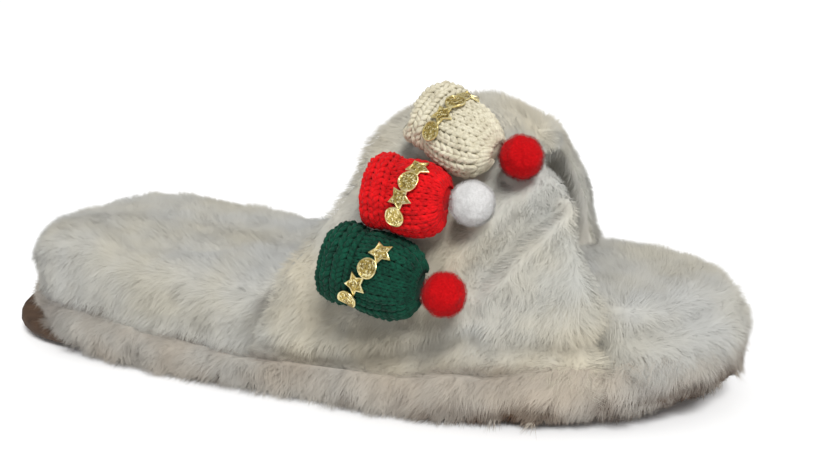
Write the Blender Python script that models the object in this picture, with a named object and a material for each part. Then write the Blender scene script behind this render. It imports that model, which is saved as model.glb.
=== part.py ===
"""Fur slide slipper for the right foot: outsole, fur wrap, footbed, padded band and three knitted caps.

Metres. +X points to the toe, -Y to the outer side, +Z up. The sole stands on Z = 0.
"""
import math
from collections import namedtuple

import bmesh
import bpy
from mathutils import Vector

# Sole
SOLE_LENGTH = 0.276
HEEL_X = -0.1412
SOLE_THICK = 0.007
TOE_SPRING = 0.007
SPRING_FROM = 0.74
HEEL_LIFT = 0.0025
HEEL_FLAT_FROM = 0.08
ARCH_RISE = 0.002
ARCH_SPAN = (0.33, 0.49)
HEEL_ROUND = 0.19
HEEL_POWER = 2.2
TOE_ROUND = 0.32
TOE_POWER = 2.15
GAP = 0.0004
BED_CLEAR = 0.00064
BAND_CLEAR = 0.0008
SOLE_COLUMNS = 72
TANGENT_STEP = 0.002

# Fur locks, each a parting, a ridge and a slope
LOCK_SHAPE = (0.15, 1.0, 0.5)
LOCK_COLUMNS = len(LOCK_SHAPE)
LOCK_LEAST = 0.5
WRAP_LOCKS = 50
WRAP_LOCK_LEAST = 0.75
WRAP_LOCK_SPREAD = 0.5
WRAP_FREE_HEM = (0.10, 0.24)
WRAP_LOCK_RELIEF = 0.0014
HEM_DROP = 0.0015
BAND_LOCK_RELIEF = 0.0018
BED_LOCK_RELIEF = 0.0013

# Footbed
BED_COLUMNS = 132
BED_FOOT_DEPTH = 0.004
BED_LIP = 0.0006
BED_HEEL_MIDDLE = HEEL_X + 0.046
BED_TOE_MIDDLE = HEEL_X + SOLE_LENGTH - 0.060

# Band
BAND_WALL = 0.009
BAND_PAD = 0.0018
BAND_PAD_FROM = (0.16, 0.42)
BAND_POWER = 2.4
BAND_STEPS = 44
BAND_STEP = 0.004
BAND_CORE_HEIGHT = 0.030
BAND_TIERS = (0.1, 1.0, 0.7, 0.4)
BAND_LOCK_LEAST = 0.35
BAND_LOCK_FROM = (0.20, 0.36)
BAND_INNER_HEIGHT = 0.084
ARC_STEPS = 160

# Notches that the band stands in: run of their ends and room round the wall
NOTCH_OUT = 0.0065
NOTCH_IN = 0.0015
NOTCH_ROOM = 0.0012
NOTCH_LEAN = 1.25

# Knitted caps
CAP_SEGMENTS = 26
CAP_POWER = 2.15
CAP_SEAT = 0.0007
CAP_BELLY = 0.30
CAP_RIBBED_ABOVE = -0.3
CAP_BELLY_SPREAD = 0.1
WALE_RELIEF = 0.035
PRESS_SHIFT = 0.006
PRESS_LENGTH = 0.011
PRESS_WIDTH = 0.004
PRESS_FADE = 1.35
POMPOM_RADIUS = 0.0064
POMPOM_LIFT = 0.0012
POMPOM_UNEVEN = 0.06
POMPOM_ROUNDS = 3

# Trim of four motifs, stars and discs in turn
MOTIFS = 4
STAR_REACH = 0.0034
STAR_POWER = 1.6
DISC_REACH = 0.0020
TRIM_SPAN = 0.84
TRIM_CLEAR = 0.0007
TRIM_SWELL = 1.04
TRIM_THICK = 0.0010
TRIM_NECK = 0.0007
TRIM_SAMPLES = 4

# Half widths of the sole, outer and inner side
PlanRow = namedtuple("PlanRow", "station lateral medial")
PLAN = (
    PlanRow(0.00, 0.0400, 0.0400),
    PlanRow(0.20, 0.0405, 0.0405),
    PlanRow(0.44, 0.0442, 0.0385),
    PlanRow(0.63, 0.0464, 0.0430),
    PlanRow(0.78, 0.0455, 0.0445),
    PlanRow(1.00, 0.0440, 0.0440),
)

# Fur wrap: reach of its bulge and of its inner wall from the sole's edge, heights of its hem and crown
WrapRow = namedtuple("WrapRow", "station skirt inner hem crown")
WRAP = (
    WrapRow(0.00, -0.0100, -0.0200, 0.0082, 0.0225),
    WrapRow(0.06, -0.0060, -0.0160, 0.0082, 0.0225),
    WrapRow(0.17, 0.0030, 0.0004, 0.0080, 0.0205),
    WrapRow(0.25, 0.0052, 0.0004, 0.0026, 0.0180),
    WrapRow(0.34, 0.0060, 0.0004, 0.0020, 0.0150),
    WrapRow(0.47, 0.0062, 0.0004, 0.0018, 0.0132),
    WrapRow(0.65, 0.0062, 0.0004, 0.0018, 0.0138),
    WrapRow(0.76, 0.0060, 0.0004, 0.0020, 0.0172),
    WrapRow(0.88, 0.0056, 0.0004, 0.0022, 0.0180),
    WrapRow(1.00, 0.0050, 0.0004, 0.0024, 0.0160),
)

# Sole rings from its underside up: inset from its edge, height, and whether the arch lifts it
SoleRow = namedtuple("SoleRow", "inset height arched")
SOLE_RINGS = (
    SoleRow(0.0042, 0.0, True),
    SoleRow(0.0012, 0.0012, True),
    SoleRow(0.0000, 0.0042, False),
    SoleRow(0.0004, 0.0062, False),
    SoleRow(0.0014, SOLE_THICK, False),
)

# Wrap rings from its inner wall over its crown to its hem: share of its reach and height, relief of the
# upper and lower tiers of locks, fall of the hem
TierRow = namedtuple("TierRow", "share height upper lower drop")
WRAP_RINGS = (
    TierRow(0.00, 0.10, 0.0, 0.0, 0.0),
    TierRow(0.00, 0.90, 0.0, 0.0, 0.0),
    TierRow(0.40, 1.00, 0.0, 0.0, 0.0),
    TierRow(0.72, 0.84, 0.8, 0.0, 0.0),
    TierRow(0.94, 0.52, 0.7, 0.3, 0.0),
    TierRow(0.92, 0.24, 0.0, 1.0, 0.0),
    TierRow(0.80, 0.00, 0.0, 0.8, 1.0),
    TierRow(0.38, 0.02, 0.0, 0.0, 0.3),
)

# Footbed: height of its top and reach of its bulge from the sole's edge
BedRow = namedtuple("BedRow", "station top bulge")
BED = (
    BedRow(0.00, 0.0440, -0.0118),
    BedRow(0.07, 0.0455, -0.0065),
    BedRow(0.18, 0.0452, 0.0012),
    BedRow(0.30, 0.0425, 0.0034),
    BedRow(0.45, 0.0388, 0.0034),
    BedRow(0.62, 0.0378, 0.0034),
    BedRow(0.80, 0.0378, 0.0036),
    BedRow(0.92, 0.0382, 0.0042),
    BedRow(1.00, 0.0378, 0.0044),
)

# Footbed rings above the crease: share of the bulge's reach, share of the height, shrink towards the
# middle, relief of the locks
RingRow = namedtuple("RingRow", "reach height keep lock")
BED_RINGS = (
    RingRow(0.45, 0.07, 1.000, 0.0),
    RingRow(1.00, 0.32, 1.000, 1.0),
    RingRow(0.55, 0.68, 0.990, 1.0),
    RingRow(0.00, 0.90, 0.930, 0.8),
    RingRow(0.00, 1.00, 0.780, 0.0),
    RingRow(0.00, 1.01, 0.520, 0.0),
    RingRow(0.00, 1.00, 0.250, 0.0),
)

# Band: where its rear rim and its front rim on either side lie at each share of its height
EdgeRow = namedtuple("EdgeRow", "station rear front_lateral front_medial")
EDGES = (
    EdgeRow(0.00, -0.0102, 0.1033, 0.0900),
    EdgeRow(0.16, -0.0072, 0.1038, 0.0902),
    EdgeRow(0.34, -0.0012, 0.1033, 0.0900),
    EdgeRow(0.50, 0.0058, 0.1018, 0.0892),
    EdgeRow(0.65, 0.0153, 0.0983, 0.0880),
    EdgeRow(0.80, 0.0228, 0.0928, 0.0860),
    EdgeRow(0.90, 0.0253, 0.0873, 0.0840),
    EdgeRow(1.00, 0.0263, 0.0825, 0.0825),
)

# Band crest from the rear rim to the front rim
CrestRow = namedtuple("CrestRow", "station height")
CREST = (
    CrestRow(0.00, 0.0830),
    CrestRow(0.25, 0.0868),
    CrestRow(0.50, 0.0880),
    CrestRow(0.75, 0.0862),
    CrestRow(1.00, 0.0800),
)

# Cross-section of the band: share of its length, share of its wall
BAND_OUTER = (0.045, 0.13, 0.22, 0.31, 0.40, 0.49, 0.58, 0.67, 0.76, 0.86, 0.955)
BAND_INNER = (0.955, 0.82, 0.66, 0.50, 0.34, 0.18, 0.045)
BAND_FRONT_RIM = ((0.988, 0.22), (1.0, 0.5), (0.988, 0.78))
BAND_REAR_RIM = ((0.012, 0.78), (0.0, 0.5), (0.012, 0.22))

# Knitted caps on the band: place along the shoe and over the band, turn, size, place and slant of the
# trim, reach of the pompom's centre past the crown and beside the cap's axis
CapRow = namedtuple("CapRow", "name x over turn length half_width thick trim slant pompom aside")
CAPS = (
    CapRow("green_hat", 0.0415, 0.0362, -14.0, 0.0300, 0.0114, 0.0135, 0.0004, 0.38, 0.0062, 0.0014),
    CapRow("red_hat", 0.0496, 0.0575, -12.0, 0.0245, 0.0100, 0.0130, 0.0022, 0.14, 0.0062, 0.0030),
    CapRow("cream_hat", 0.0598, 0.0768, -36.0, 0.0275, 0.0098, 0.0120, -0.0017, -0.12, 0.0046, 0.0055),
)

# Outline of a cap from its brim to its crown
HatRow = namedtuple("HatRow", "place width height")
HAT = (
    HatRow(-0.500, 0.88, 0.86),
    HatRow(-0.465, 0.98, 0.99),
    HatRow(-0.335, 1.03, 1.07),
    HatRow(-0.205, 0.98, 1.00),
    HatRow(-0.150, 0.91, 0.89),
    HatRow(-0.050, 0.98, 0.99),
    HatRow(0.120, 1.00, 1.01),
    HatRow(0.290, 0.94, 0.95),
    HatRow(0.410, 0.78, 0.82),
    HatRow(0.475, 0.55, 0.62),
    HatRow(0.500, 0.28, 0.40),
)
HAT_MOUTH = (HatRow(-0.330, 0.66, 0.56), HatRow(-0.490, 0.72, 0.62))

# Colours
FUR = (0.62, 0.59, 0.53)
WRAP_FUR = (0.56, 0.52, 0.46)
BROWN = (0.055, 0.034, 0.020)
GOLD = (0.60, 0.45, 0.16)
SOLE_ROUGH = 0.75
FUR_ROUGH = 0.9
YARN_ROUGH = 0.85
GOLD_ROUGH = 0.35
YarnRow = namedtuple("YarnRow", "cap pompom")
YARNS = {
    "green_hat": YarnRow((0.010, 0.062, 0.036), (0.52, 0.010, 0.012)),
    "red_hat": YarnRow((0.60, 0.010, 0.012), (0.56, 0.54, 0.52)),
    "cream_hat": YarnRow((0.60, 0.56, 0.42), (0.52, 0.010, 0.012)),
}


def along(rows, column, station):
    """Value of a table's column at a station, without overshoot between rows."""
    xs = [row.station for row in rows]
    ys = [getattr(row, column) for row in rows]
    if station <= xs[0]:
        return ys[0]
    if station >= xs[-1]:
        return ys[-1]
    k = max(i for i in range(len(xs) - 1) if xs[i] <= station)
    slopes = [(ys[i + 1] - ys[i]) / (xs[i + 1] - xs[i]) for i in range(len(xs) - 1)]

    def tangent(i):
        if i == 0 or i == len(xs) - 1:
            return 0.0
        if slopes[i - 1] * slopes[i] <= 0:
            return 0.0
        return 2 * slopes[i - 1] * slopes[i] / (slopes[i - 1] + slopes[i])

    step = xs[k + 1] - xs[k]
    t = (station - xs[k]) / step
    value = ys[k] * (1 + 2 * t) * (1 - t) ** 2 + ys[k + 1] * t * t * (3 - 2 * t)
    return value + step * (tangent(k) * t * (1 - t) ** 2 - tangent(k + 1) * t * t * (1 - t))


def smooth(low, high, value):
    """Soft step from 0 at low to 1 at high."""
    t = min(1.0, max(0.0, (value - low) / (high - low)))
    return t * t * (3 - 2 * t)


def vary(*numbers):
    """Steady uneven value between 0 and 1."""
    wave = math.sin(sum((12.9898 + 65.233 * i) * n for i, n in enumerate(numbers)) + 1.7) * 43758.5453
    return wave - math.floor(wave)


def half_width(station, side):
    """Half width of the sole, outer side for a negative side."""
    body = along(PLAN, "lateral" if side < 0 else "medial", station)
    heel = max(0.0, (HEEL_ROUND - station) / HEEL_ROUND)
    toe = max(0.0, (station - 1 + TOE_ROUND) / TOE_ROUND)
    heel_cap = max(0.0, 1 - heel**HEEL_POWER) ** (1 / HEEL_POWER)
    toe_cap = max(0.0, 1 - toe**TOE_POWER) ** (1 / TOE_POWER)
    return body * heel_cap * toe_cap


def rise(station):
    """Toe spring and heel lift of everything in the sole."""
    toe = max(0.0, (station - SPRING_FROM) / (1 - SPRING_FROM))
    heel = max(0.0, (HEEL_FLAT_FROM - station) / HEEL_FLAT_FROM)
    return TOE_SPRING * toe**2 + HEEL_LIFT * heel**2


def underside(station):
    """Height of the sole's underside, with the arch."""
    t = min(1.0, max(0.0, (station - ARCH_SPAN[0]) / (ARCH_SPAN[1] - ARCH_SPAN[0])))
    return rise(station) + ARCH_RISE * math.sin(math.pi * t) ** 2


def turn_station(turn):
    """Station along the sole for a turn round its edge, 0 at the heel and 0.5 at the toe."""
    return (1 - math.cos(2 * math.pi * turn)) / 2


def edge_point(turn):
    """Point of the sole's edge, outer side first."""
    turn = turn % 1.0
    station = turn_station(turn)
    side = -1 if turn < 0.5 else 1
    return Vector((HEEL_X + SOLE_LENGTH * station, side * half_width(station, side)))


def reach_point(turn, reach):
    """Point at a reach outside the sole's edge."""
    tangent = (edge_point(turn + TANGENT_STEP) - edge_point(turn - TANGENT_STEP)).normalized()
    return edge_point(turn) + Vector((tangent.y, -tangent.x)) * reach


def ring(count, reach, height):
    """Ring of points round the sole. reach and height are functions of turn and column."""
    points = []
    for k in range(count):
        turn = k / count
        flat = reach_point(turn, reach(turn, k))
        points.append(Vector((flat.x, flat.y, height(turn, k))))
    return points


def material(name, colour, roughness, metallic=0.0):
    """Plain material of one sub-part."""
    made = bpy.data.materials.new(name)
    made.use_nodes = True
    shader = made.node_tree.nodes["Principled BSDF"]
    shader.inputs["Base Color"].default_value = (*colour, 1.0)
    shader.inputs["Roughness"].default_value = roughness
    shader.inputs["Metallic"].default_value = metallic
    return made


def finish(bm, name, look):
    """Turn a bmesh into a named, smooth shaded object with one material."""
    bmesh.ops.recalc_face_normals(bm, faces=bm.faces)
    mesh = bpy.data.meshes.new(name)
    bm.to_mesh(mesh)
    bm.free()
    mesh.materials.append(look)
    for polygon in mesh.polygons:
        polygon.use_smooth = True
    made = bpy.data.objects.new(name, mesh)
    bpy.context.scene.collection.objects.link(made)
    return made


def skin(bm, loops, wrapped):
    """Faces between neighbouring closed loops. wrapped joins the last loop to the first."""
    rows = [[bm.verts.new(point) for point in loop] for loop in loops]
    pairs = list(zip(rows, rows[1:]))
    if wrapped:
        pairs.append((rows[-1], rows[0]))
    for low, high in pairs:
        count = len(low)
        for k in range(count):
            n = (k + 1) % count
            bm.faces.new((low[k], low[n], high[n], high[k]))
    return rows


def cross_cap(bm, row):
    """Close a ring round the sole with strips from side to side."""
    count = len(row)
    half = count // 2
    bm.faces.new((row[0], row[1], row[count - 1]))
    for k in range(1, half - 1):
        bm.faces.new((row[k], row[k + 1], row[count - k - 1], row[count - k]))
    bm.faces.new((row[half - 1], row[half], row[half + 1]))


def lock(column, shift):
    """Relief of a lock at one of its columns."""
    return LOCK_SHAPE[(column + shift) % LOCK_COLUMNS]


def uneven(least, *numbers):
    """Steady uneven share from least to 1."""
    return least + (1 - least) * vary(*numbers)


def build_outsole(look):
    """Moulded sole with a rolled edge, an arch and toe spring."""
    def level(row):
        def height(turn, k):
            station = turn_station(turn)
            return (underside(station) if row.arched else rise(station)) + row.height
        return ring(SOLE_COLUMNS, lambda turn, k: -row.inset, height)

    bm = bmesh.new()
    rows = skin(bm, [level(row) for row in SOLE_RINGS], False)
    cross_cap(bm, rows[0])
    cross_cap(bm, rows[-1])
    return finish(bm, "outsole", look)


def build_wrap(look):
    """Fur strip round the sole's edge with two staggered tiers of locks and a ragged hem."""
    def level(row):
        def reach(turn, k):
            s = turn_station(turn)
            inner = along(WRAP, "inner", s)
            bump = row.upper * lock(k, 0) + row.lower * lock(k, 1)
            bump *= WRAP_LOCK_RELIEF * (WRAP_LOCK_LEAST + WRAP_LOCK_SPREAD * vary(k // LOCK_COLUMNS))
            return inner + row.share * (along(WRAP, "skirt", s) - inner) + bump

        def lift(turn, k):
            s = turn_station(turn)
            hem = along(WRAP, "hem", s)
            fall = HEM_DROP * row.drop * lock(k, 1) * uneven(LOCK_LEAST, k // LOCK_COLUMNS, 3)
            fall *= smooth(*WRAP_FREE_HEM, s)
            return rise(s) + hem + row.height * (along(WRAP, "crown", s) - hem) - fall

        return ring(WRAP_LOCKS * LOCK_COLUMNS, reach, lift)

    bm = bmesh.new()
    skin(bm, [level(row) for row in WRAP_RINGS], True)
    return finish(bm, "fur_wrap", look)


def arch(share):
    """Side and height of the band's section at a share of its way over the foot, both from 0 to 1."""
    angle = math.pi * min(1.0, max(0.0, share))
    side = abs(math.cos(angle)) ** (2 / BAND_POWER)
    return math.copysign(side, -math.cos(angle)), math.sin(angle) ** (2 / BAND_POWER)


def band_edges(side, up):
    """Where the rear and front rims lie, outer side for a negative side."""
    return along(EDGES, "rear", up), along(EDGES, "front_lateral" if side < 0 else "front_medial", up)


def band_point(length, share):
    """Point of the band's outer face without locks. length runs from rear rim to front rim."""
    side, up = arch(share)
    rear, front = band_edges(side, up)
    x = rear * (1 - length) + front * length
    station = (x - HEEL_X) / SOLE_LENGTH
    base = rise(station) + SOLE_THICK + BAND_CLEAR
    crest = along(CREST, "height", length)
    y = side * half_width(station, side)
    return Vector((x, y, base + (crest - base) * up))


def band_frame(length, share):
    """Point of the band's padded outer face and its outward normal."""
    across = band_point(length + BAND_STEP, share) - band_point(length - BAND_STEP, share)
    low, high = max(0.0, share - BAND_STEP), min(1.0, share + BAND_STEP)
    over = band_point(length, high) - band_point(length, low)
    normal = across.cross(over).normalized()
    point = band_point(length, share)
    if normal.dot(point - Vector((point.x, 0.0, BAND_CORE_HEIGHT))) < 0:
        normal = -normal
    up = arch(share)[1]
    pad = BAND_PAD * 4 * length * (1 - length) * smooth(*BAND_PAD_FROM, up)
    return point + normal * pad, normal


def band_length(x, share):
    """Share from rear rim to front rim of a place along the shoe."""
    rear, front = band_edges(*arch(share))
    return (x - rear) / (front - rear)


def arc_table(x):
    """Lengths over the band at one place along the shoe, with the shares they lie at."""
    rows = [(0.0, 0.0)]
    last = band_frame(band_length(x, 0.0), 0.0)[0]
    for k in range(1, ARC_STEPS + 1):
        share = k / ARC_STEPS
        point = band_frame(band_length(x, share), share)[0]
        rows.append((rows[-1][0] + (point - last).length, share))
        last = point
    return rows


def look_up(rows, value, key):
    """Read a two column table by its first or second column."""
    other = 1 - key
    for low, high in zip(rows, rows[1:]):
        if value <= high[key]:
            t = (value - low[key]) / max(1e-9, high[key] - low[key])
            return low[other] + t * (high[other] - low[other])
    return rows[-1][other]


class Seat:
    """Flat coordinates of one cap laid on the band: along its axis, across it, and away from the band."""

    def __init__(self, row):
        self.row = row
        self.table = arc_table(row.x)
        self.cos = math.cos(math.radians(row.turn))
        self.sin = math.sin(math.radians(row.turn))

    def place(self, axis, across, away):
        """Point in the shoe."""
        x = self.row.x + axis * self.cos - across * self.sin
        share = look_up(self.table, self.row.over + axis * self.sin + across * self.cos, 0)
        point, normal = band_frame(band_length(x, share), share)
        return point + normal * away

    def flatten(self, x, share):
        """Axis and across of a place on the band."""
        run = x - self.row.x
        over = look_up(self.table, share, 1) - self.row.over
        return run * self.cos + over * self.sin, over * self.cos - run * self.sin


def pressed(seats, x, share):
    """0 where a cap or its pompom presses the band's fur flat, 1 clear of them."""
    free = 1.0
    for seat in seats:
        axis, across = seat.flatten(x, share)
        a = abs(axis - PRESS_SHIFT) / (seat.row.length / 2 + PRESS_LENGTH)
        b = abs(across) / (seat.row.half_width + PRESS_WIDTH)
        free *= smooth(1.0, PRESS_FADE, max(a, b))
    return free


def build_upper(look, seats):
    """Padded band: a rounded section carried over the foot, with locks on its outer face."""
    section = [(u, 0.0) for u in BAND_OUTER] + list(BAND_FRONT_RIM)
    section += [(u, 1.0) for u in BAND_INNER] + list(BAND_REAR_RIM)
    loops = []
    for step in range(BAND_STEPS + 1):
        share = step / BAND_STEPS
        free = smooth(*BAND_LOCK_FROM, arch(share)[1])
        fall = step if share < 0.5 else BAND_STEPS - step
        row, place = divmod(fall, len(BAND_TIERS))
        loop = []
        for k, (u, depth) in enumerate(section):
            point, normal = band_frame(u, share)
            bump = BAND_LOCK_RELIEF * BAND_TIERS[place] * uneven(BAND_LOCK_LEAST, k, row) * (1.0 - depth)
            bump *= free * pressed(seats, point.x, share)
            loop.append(point + normal * (bump - BAND_WALL * depth))
        loops.append(loop)
    bm = bmesh.new()
    rows = skin(bm, loops, False)
    bm.faces.new(rows[0])
    bm.faces.new(rows[-1])
    bmesh.ops.triangulate(bm, faces=[face for face in bm.faces if len(face.verts) > 4])
    return finish(bm, "upper", look)


def band_inside(x, height, y):
    """How far inside the sole's edge the band's inner face lies beside the footbed."""
    up = max(0.0, (height - SOLE_THICK) / (BAND_INNER_HEIGHT - SOLE_THICK))
    side = max(0.0, 1 - up**BAND_POWER) ** (1 / BAND_POWER)
    station = (x - HEEL_X) / SOLE_LENGTH
    lean = half_width(station, y) * (1 - side)
    rear, front = band_edges(y, up)
    inside = smooth(rear - NOTCH_OUT, rear - NOTCH_IN, x) * smooth(front + NOTCH_OUT, front + NOTCH_IN, x)
    return inside, BAND_WALL + NOTCH_ROOM + NOTCH_LEAN * lean


def build_footbed(look):
    """Fur pillow with a foot inside the wrap, a bulging side and notches for the band."""
    def reach_for(own, height):
        def reach(turn, k):
            free = own(turn_station(turn), k)
            edge = edge_point(turn)
            inside, depth = band_inside(edge.x, height(turn, k), edge.y)
            return free * (1 - inside) + min(free, -depth) * inside
        return reach

    def foot_reach(s, k):
        return along(WRAP, "inner", s) - GAP

    def under(turn, k):
        return rise(turn_station(turn)) + SOLE_THICK + BED_CLEAR

    def crease(share):
        def height(turn, k):
            s = turn_station(turn)
            return rise(s) + along(WRAP, "crown", s) + share
        return height

    loops = [
        ring(BED_COLUMNS, reach_for(foot_reach, height), height)
        for height in (under, crease(-BED_FOOT_DEPTH), crease(GAP))
    ]
    for n, row in enumerate(BED_RINGS):
        def own(s, k, row=row, n=n):
            bulge = along(BED, "bulge", s)
            start = along(WRAP, "inner", s) - GAP
            tuft = BED_LOCK_RELIEF * row.lock * lock(k, n) * uneven(LOCK_LEAST, k // LOCK_COLUMNS, n)
            return start + (bulge - start) * row.reach + tuft

        def height(turn, k, row=row):
            s = turn_station(turn)
            low = rise(s) + along(WRAP, "crown", s) + BED_LIP
            return low + (along(BED, "top", s) - low) * row.height

        points = ring(BED_COLUMNS, reach_for(own, height), height)
        for point in points:
            middle = min(BED_TOE_MIDDLE, max(BED_HEEL_MIDDLE, point.x))
            point.x = middle + (point.x - middle) * row.keep
            point.y *= row.keep
        loops.append(points)
    bm = bmesh.new()
    rows = skin(bm, loops, False)
    cross_cap(bm, rows[0])
    cross_cap(bm, rows[-1])
    return finish(bm, "footbed", look)


def hat_away(row, hat, across_share):
    """Height of a cap's outer face above the band at one ring, across_share from -1 to 1."""
    belly = CAP_SEAT + CAP_BELLY * row.thick
    dome = max(0.0, 1 - abs(across_share) ** CAP_POWER) ** (1 / CAP_POWER)
    return belly + (1 - CAP_BELLY) * row.thick * hat.height * dome


def hat_loop(seat, hat, ribbed):
    """One ring round a cap, flat towards the band and ribbed by its wales."""
    row = seat.row
    belly = CAP_SEAT + CAP_BELLY * row.thick
    loop = []
    for k in range(CAP_SEGMENTS):
        angle = 2 * math.pi * k / CAP_SEGMENTS
        wide = math.copysign(abs(math.cos(angle)) ** (2 / CAP_POWER), math.cos(angle))
        high = math.copysign(abs(math.sin(angle)) ** (2 / CAP_POWER), math.sin(angle))
        rib = 1 + (WALE_RELIEF * (-1) ** k if ribbed and high > CAP_RIBBED_ABOVE else 0.0)
        away = (1 - CAP_BELLY) * row.thick * hat.height * rib
        if high <= 0:
            away = (belly - CAP_SEAT) * min(1.0, hat.width + CAP_BELLY_SPREAD)
        across = wide * row.half_width * hat.width * rib
        loop.append(seat.place(hat.place * row.length, across, belly + high * away))
    return loop


def build_hat(seat, look):
    """Knitted cap with a folded brim, ribbed wales and an open mouth."""
    loops = [hat_loop(seat, hat, False) for hat in HAT_MOUTH]
    loops += [hat_loop(seat, hat, k > 0) for k, hat in enumerate(HAT)]
    bm = bmesh.new()
    rows = skin(bm, loops, False)
    bm.faces.new(rows[0])
    bm.faces.new(rows[-1])
    bmesh.ops.triangulate(bm, faces=[face for face in bm.faces if len(face.verts) > 4])
    return finish(bm, "hat_" + seat.row.name.replace("_hat", ""), look)


def build_pompom(seat, look):
    """Yarn ball with uneven tufts at a cap's crown."""
    row = seat.row
    centre = seat.place(row.length / 2 + row.pompom, row.aside, POMPOM_RADIUS + POMPOM_LIFT)
    bm = bmesh.new()
    bmesh.ops.create_icosphere(bm, subdivisions=POMPOM_ROUNDS, radius=POMPOM_RADIUS)
    for k, vert in enumerate(bm.verts):
        vert.co = centre + vert.co * (1 - POMPOM_UNEVEN * vary(k, POMPOM_ROUNDS))
    return finish(bm, "pompom_" + row.name, look)


def motif(place):
    """Half height of the trim, place from 0 to the number of motifs."""
    number = min(int(place), MOTIFS - 1)
    inside = 2 * (place - number) - 1
    if number % 2 == 0:
        return TRIM_NECK + STAR_REACH * (1 - abs(inside)) ** STAR_POWER
    return TRIM_NECK + DISC_REACH * math.sqrt(max(0.0, 1 - inside * inside))


def build_trim(seat, look):
    """Thin glittering chain of stars and discs across a cap, lying on its wales."""
    row = seat.row
    steps = MOTIFS * TRIM_SAMPLES
    under, over = [], []
    for step in range(steps + 1):
        across = TRIM_SPAN * (2 * step / steps - 1) * row.half_width
        half = motif(step / TRIM_SAMPLES)
        for side in (-1, 0, 1):
            axis = row.trim + row.slant * across + side * half
            place = axis / row.length
            shape = HatRow(place, along_hat("width", place), along_hat("height", place))
            away = hat_away(row, shape, across / (row.half_width * shape.width)) * TRIM_SWELL + TRIM_CLEAR
            under.append(seat.place(axis, across, away))
            over.append(seat.place(axis, across, away + TRIM_THICK))
    bm = bmesh.new()
    low = [bm.verts.new(point) for point in under]
    high = [bm.verts.new(point) for point in over]
    for sheet in (low, high):
        for step in range(steps):
            for side in (0, 1):
                a = 3 * step + side
                bm.faces.new((sheet[a], sheet[a + 1], sheet[a + 4], sheet[a + 3]))
    rim = [3 * step for step in range(steps + 1)] + [3 * steps + 1]
    rim += [3 * step + 2 for step in range(steps, -1, -1)] + [1]
    for a, b in zip(rim, rim[1:] + rim[:1]):
        bm.faces.new((low[a], low[b], high[b], high[a]))
    return finish(bm, "trim_" + row.name, look)


def along_hat(column, place):
    """Width or height of a cap's outline between its rows."""
    for low, high in zip(HAT, HAT[1:]):
        if place <= high.place:
            t = (place - low.place) / (high.place - low.place)
            return getattr(low, column) * (1 - t) + getattr(high, column) * t
    return getattr(HAT[-1], column)


def main():
    """Build every piece."""
    for old in list(bpy.data.objects):
        bpy.data.objects.remove(old, do_unlink=True)
    seats = [Seat(row) for row in CAPS]
    build_outsole(material("sole_brown", BROWN, SOLE_ROUGH))
    build_wrap(material("wrap_fur", WRAP_FUR, FUR_ROUGH))
    build_footbed(material("footbed_fur", FUR, FUR_ROUGH))
    build_upper(material("band_fur", FUR, FUR_ROUGH), seats)
    for seat in seats:
        name = seat.row.name
        yarn = YARNS[name]
        build_hat(seat, material(name + "_yarn", yarn.cap, YARN_ROUGH))
        build_pompom(seat, material(name + "_pompom_yarn", yarn.pompom, YARN_ROUGH))
        build_trim(seat, material(name + "_gold", GOLD, GOLD_ROUGH, 1.0))


main()
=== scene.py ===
"""Looks of a fur slide slipper for the right foot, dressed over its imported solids.

Metres. +X points to the toe, -Y to the outer side, +Z up. The sole stands on Z = 0.
"""
import logging
import math
from collections.abc import Callable
from dataclasses import dataclass, replace
from enum import Enum
from functools import cache

import bmesh
import bpy
import numpy as np
from mathutils import Matrix, Vector
from mathutils.bvhtree import BVHTree
from mathutils.kdtree import KDTree


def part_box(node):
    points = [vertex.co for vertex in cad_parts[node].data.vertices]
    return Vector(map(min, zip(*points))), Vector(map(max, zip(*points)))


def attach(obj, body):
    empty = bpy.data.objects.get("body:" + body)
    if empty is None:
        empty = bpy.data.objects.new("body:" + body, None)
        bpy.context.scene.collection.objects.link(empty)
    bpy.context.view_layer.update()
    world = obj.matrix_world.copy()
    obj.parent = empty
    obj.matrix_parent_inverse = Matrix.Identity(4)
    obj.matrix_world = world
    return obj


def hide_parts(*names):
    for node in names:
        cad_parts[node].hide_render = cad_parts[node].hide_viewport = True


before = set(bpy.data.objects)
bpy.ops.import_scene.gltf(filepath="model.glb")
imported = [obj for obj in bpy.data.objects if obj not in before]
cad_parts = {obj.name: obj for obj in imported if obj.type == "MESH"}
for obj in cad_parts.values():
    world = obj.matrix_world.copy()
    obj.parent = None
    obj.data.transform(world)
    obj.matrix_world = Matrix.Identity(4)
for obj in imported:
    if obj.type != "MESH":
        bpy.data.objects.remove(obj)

Array = np.ndarray
Colour = tuple[float, float, float]
Point = tuple[float, float, float]
Pair = tuple[float, float]
Field = Callable[[Array, Array], Array]
Leg = tuple[Array, Array, Array]
Object = bpy.types.Object
Mesh = bpy.types.Mesh
Material = bpy.types.Material
Socket = bpy.types.NodeSocket

log = logging.getLogger("slipper")
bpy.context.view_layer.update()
BODY = "root"
FLOOR_CLEAR = 0.0003
BAND_AXIS = 0.030
FULL_TURN = 2 * math.pi
LEVEL = np.array([1, 1, 0])
CROSSWISE = np.array([0, 1, 1])
LARGE_SOLIDS = ("outsole", "fur_wrap", "footbed", "upper")
NO_QUADS = np.empty((0, 4), int)


def linear(red: float, green: float, blue: float) -> Colour:
    """Linear colour of a display colour.

    Args:
        red: Red, from 0 to 255.
        green: Green, from 0 to 255.
        blue: Blue, from 0 to 255.

    Returns:
        The colour, from 0 to 1.
    """
    shares = np.array([red, green, blue]) / 255
    curved = ((shares + 0.055) / 1.055) ** 2.4
    return tuple(float(v) for v in np.where(shares > 0.04045, curved, shares / 12.92))


def soft_step(low: float, high: float, value: Array) -> Array:
    """Soft step from 0 at low to 1 at high."""
    t = np.clip((value - low) / (high - low), 0, 1)
    return t * t * (3 - 2 * t)


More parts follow.
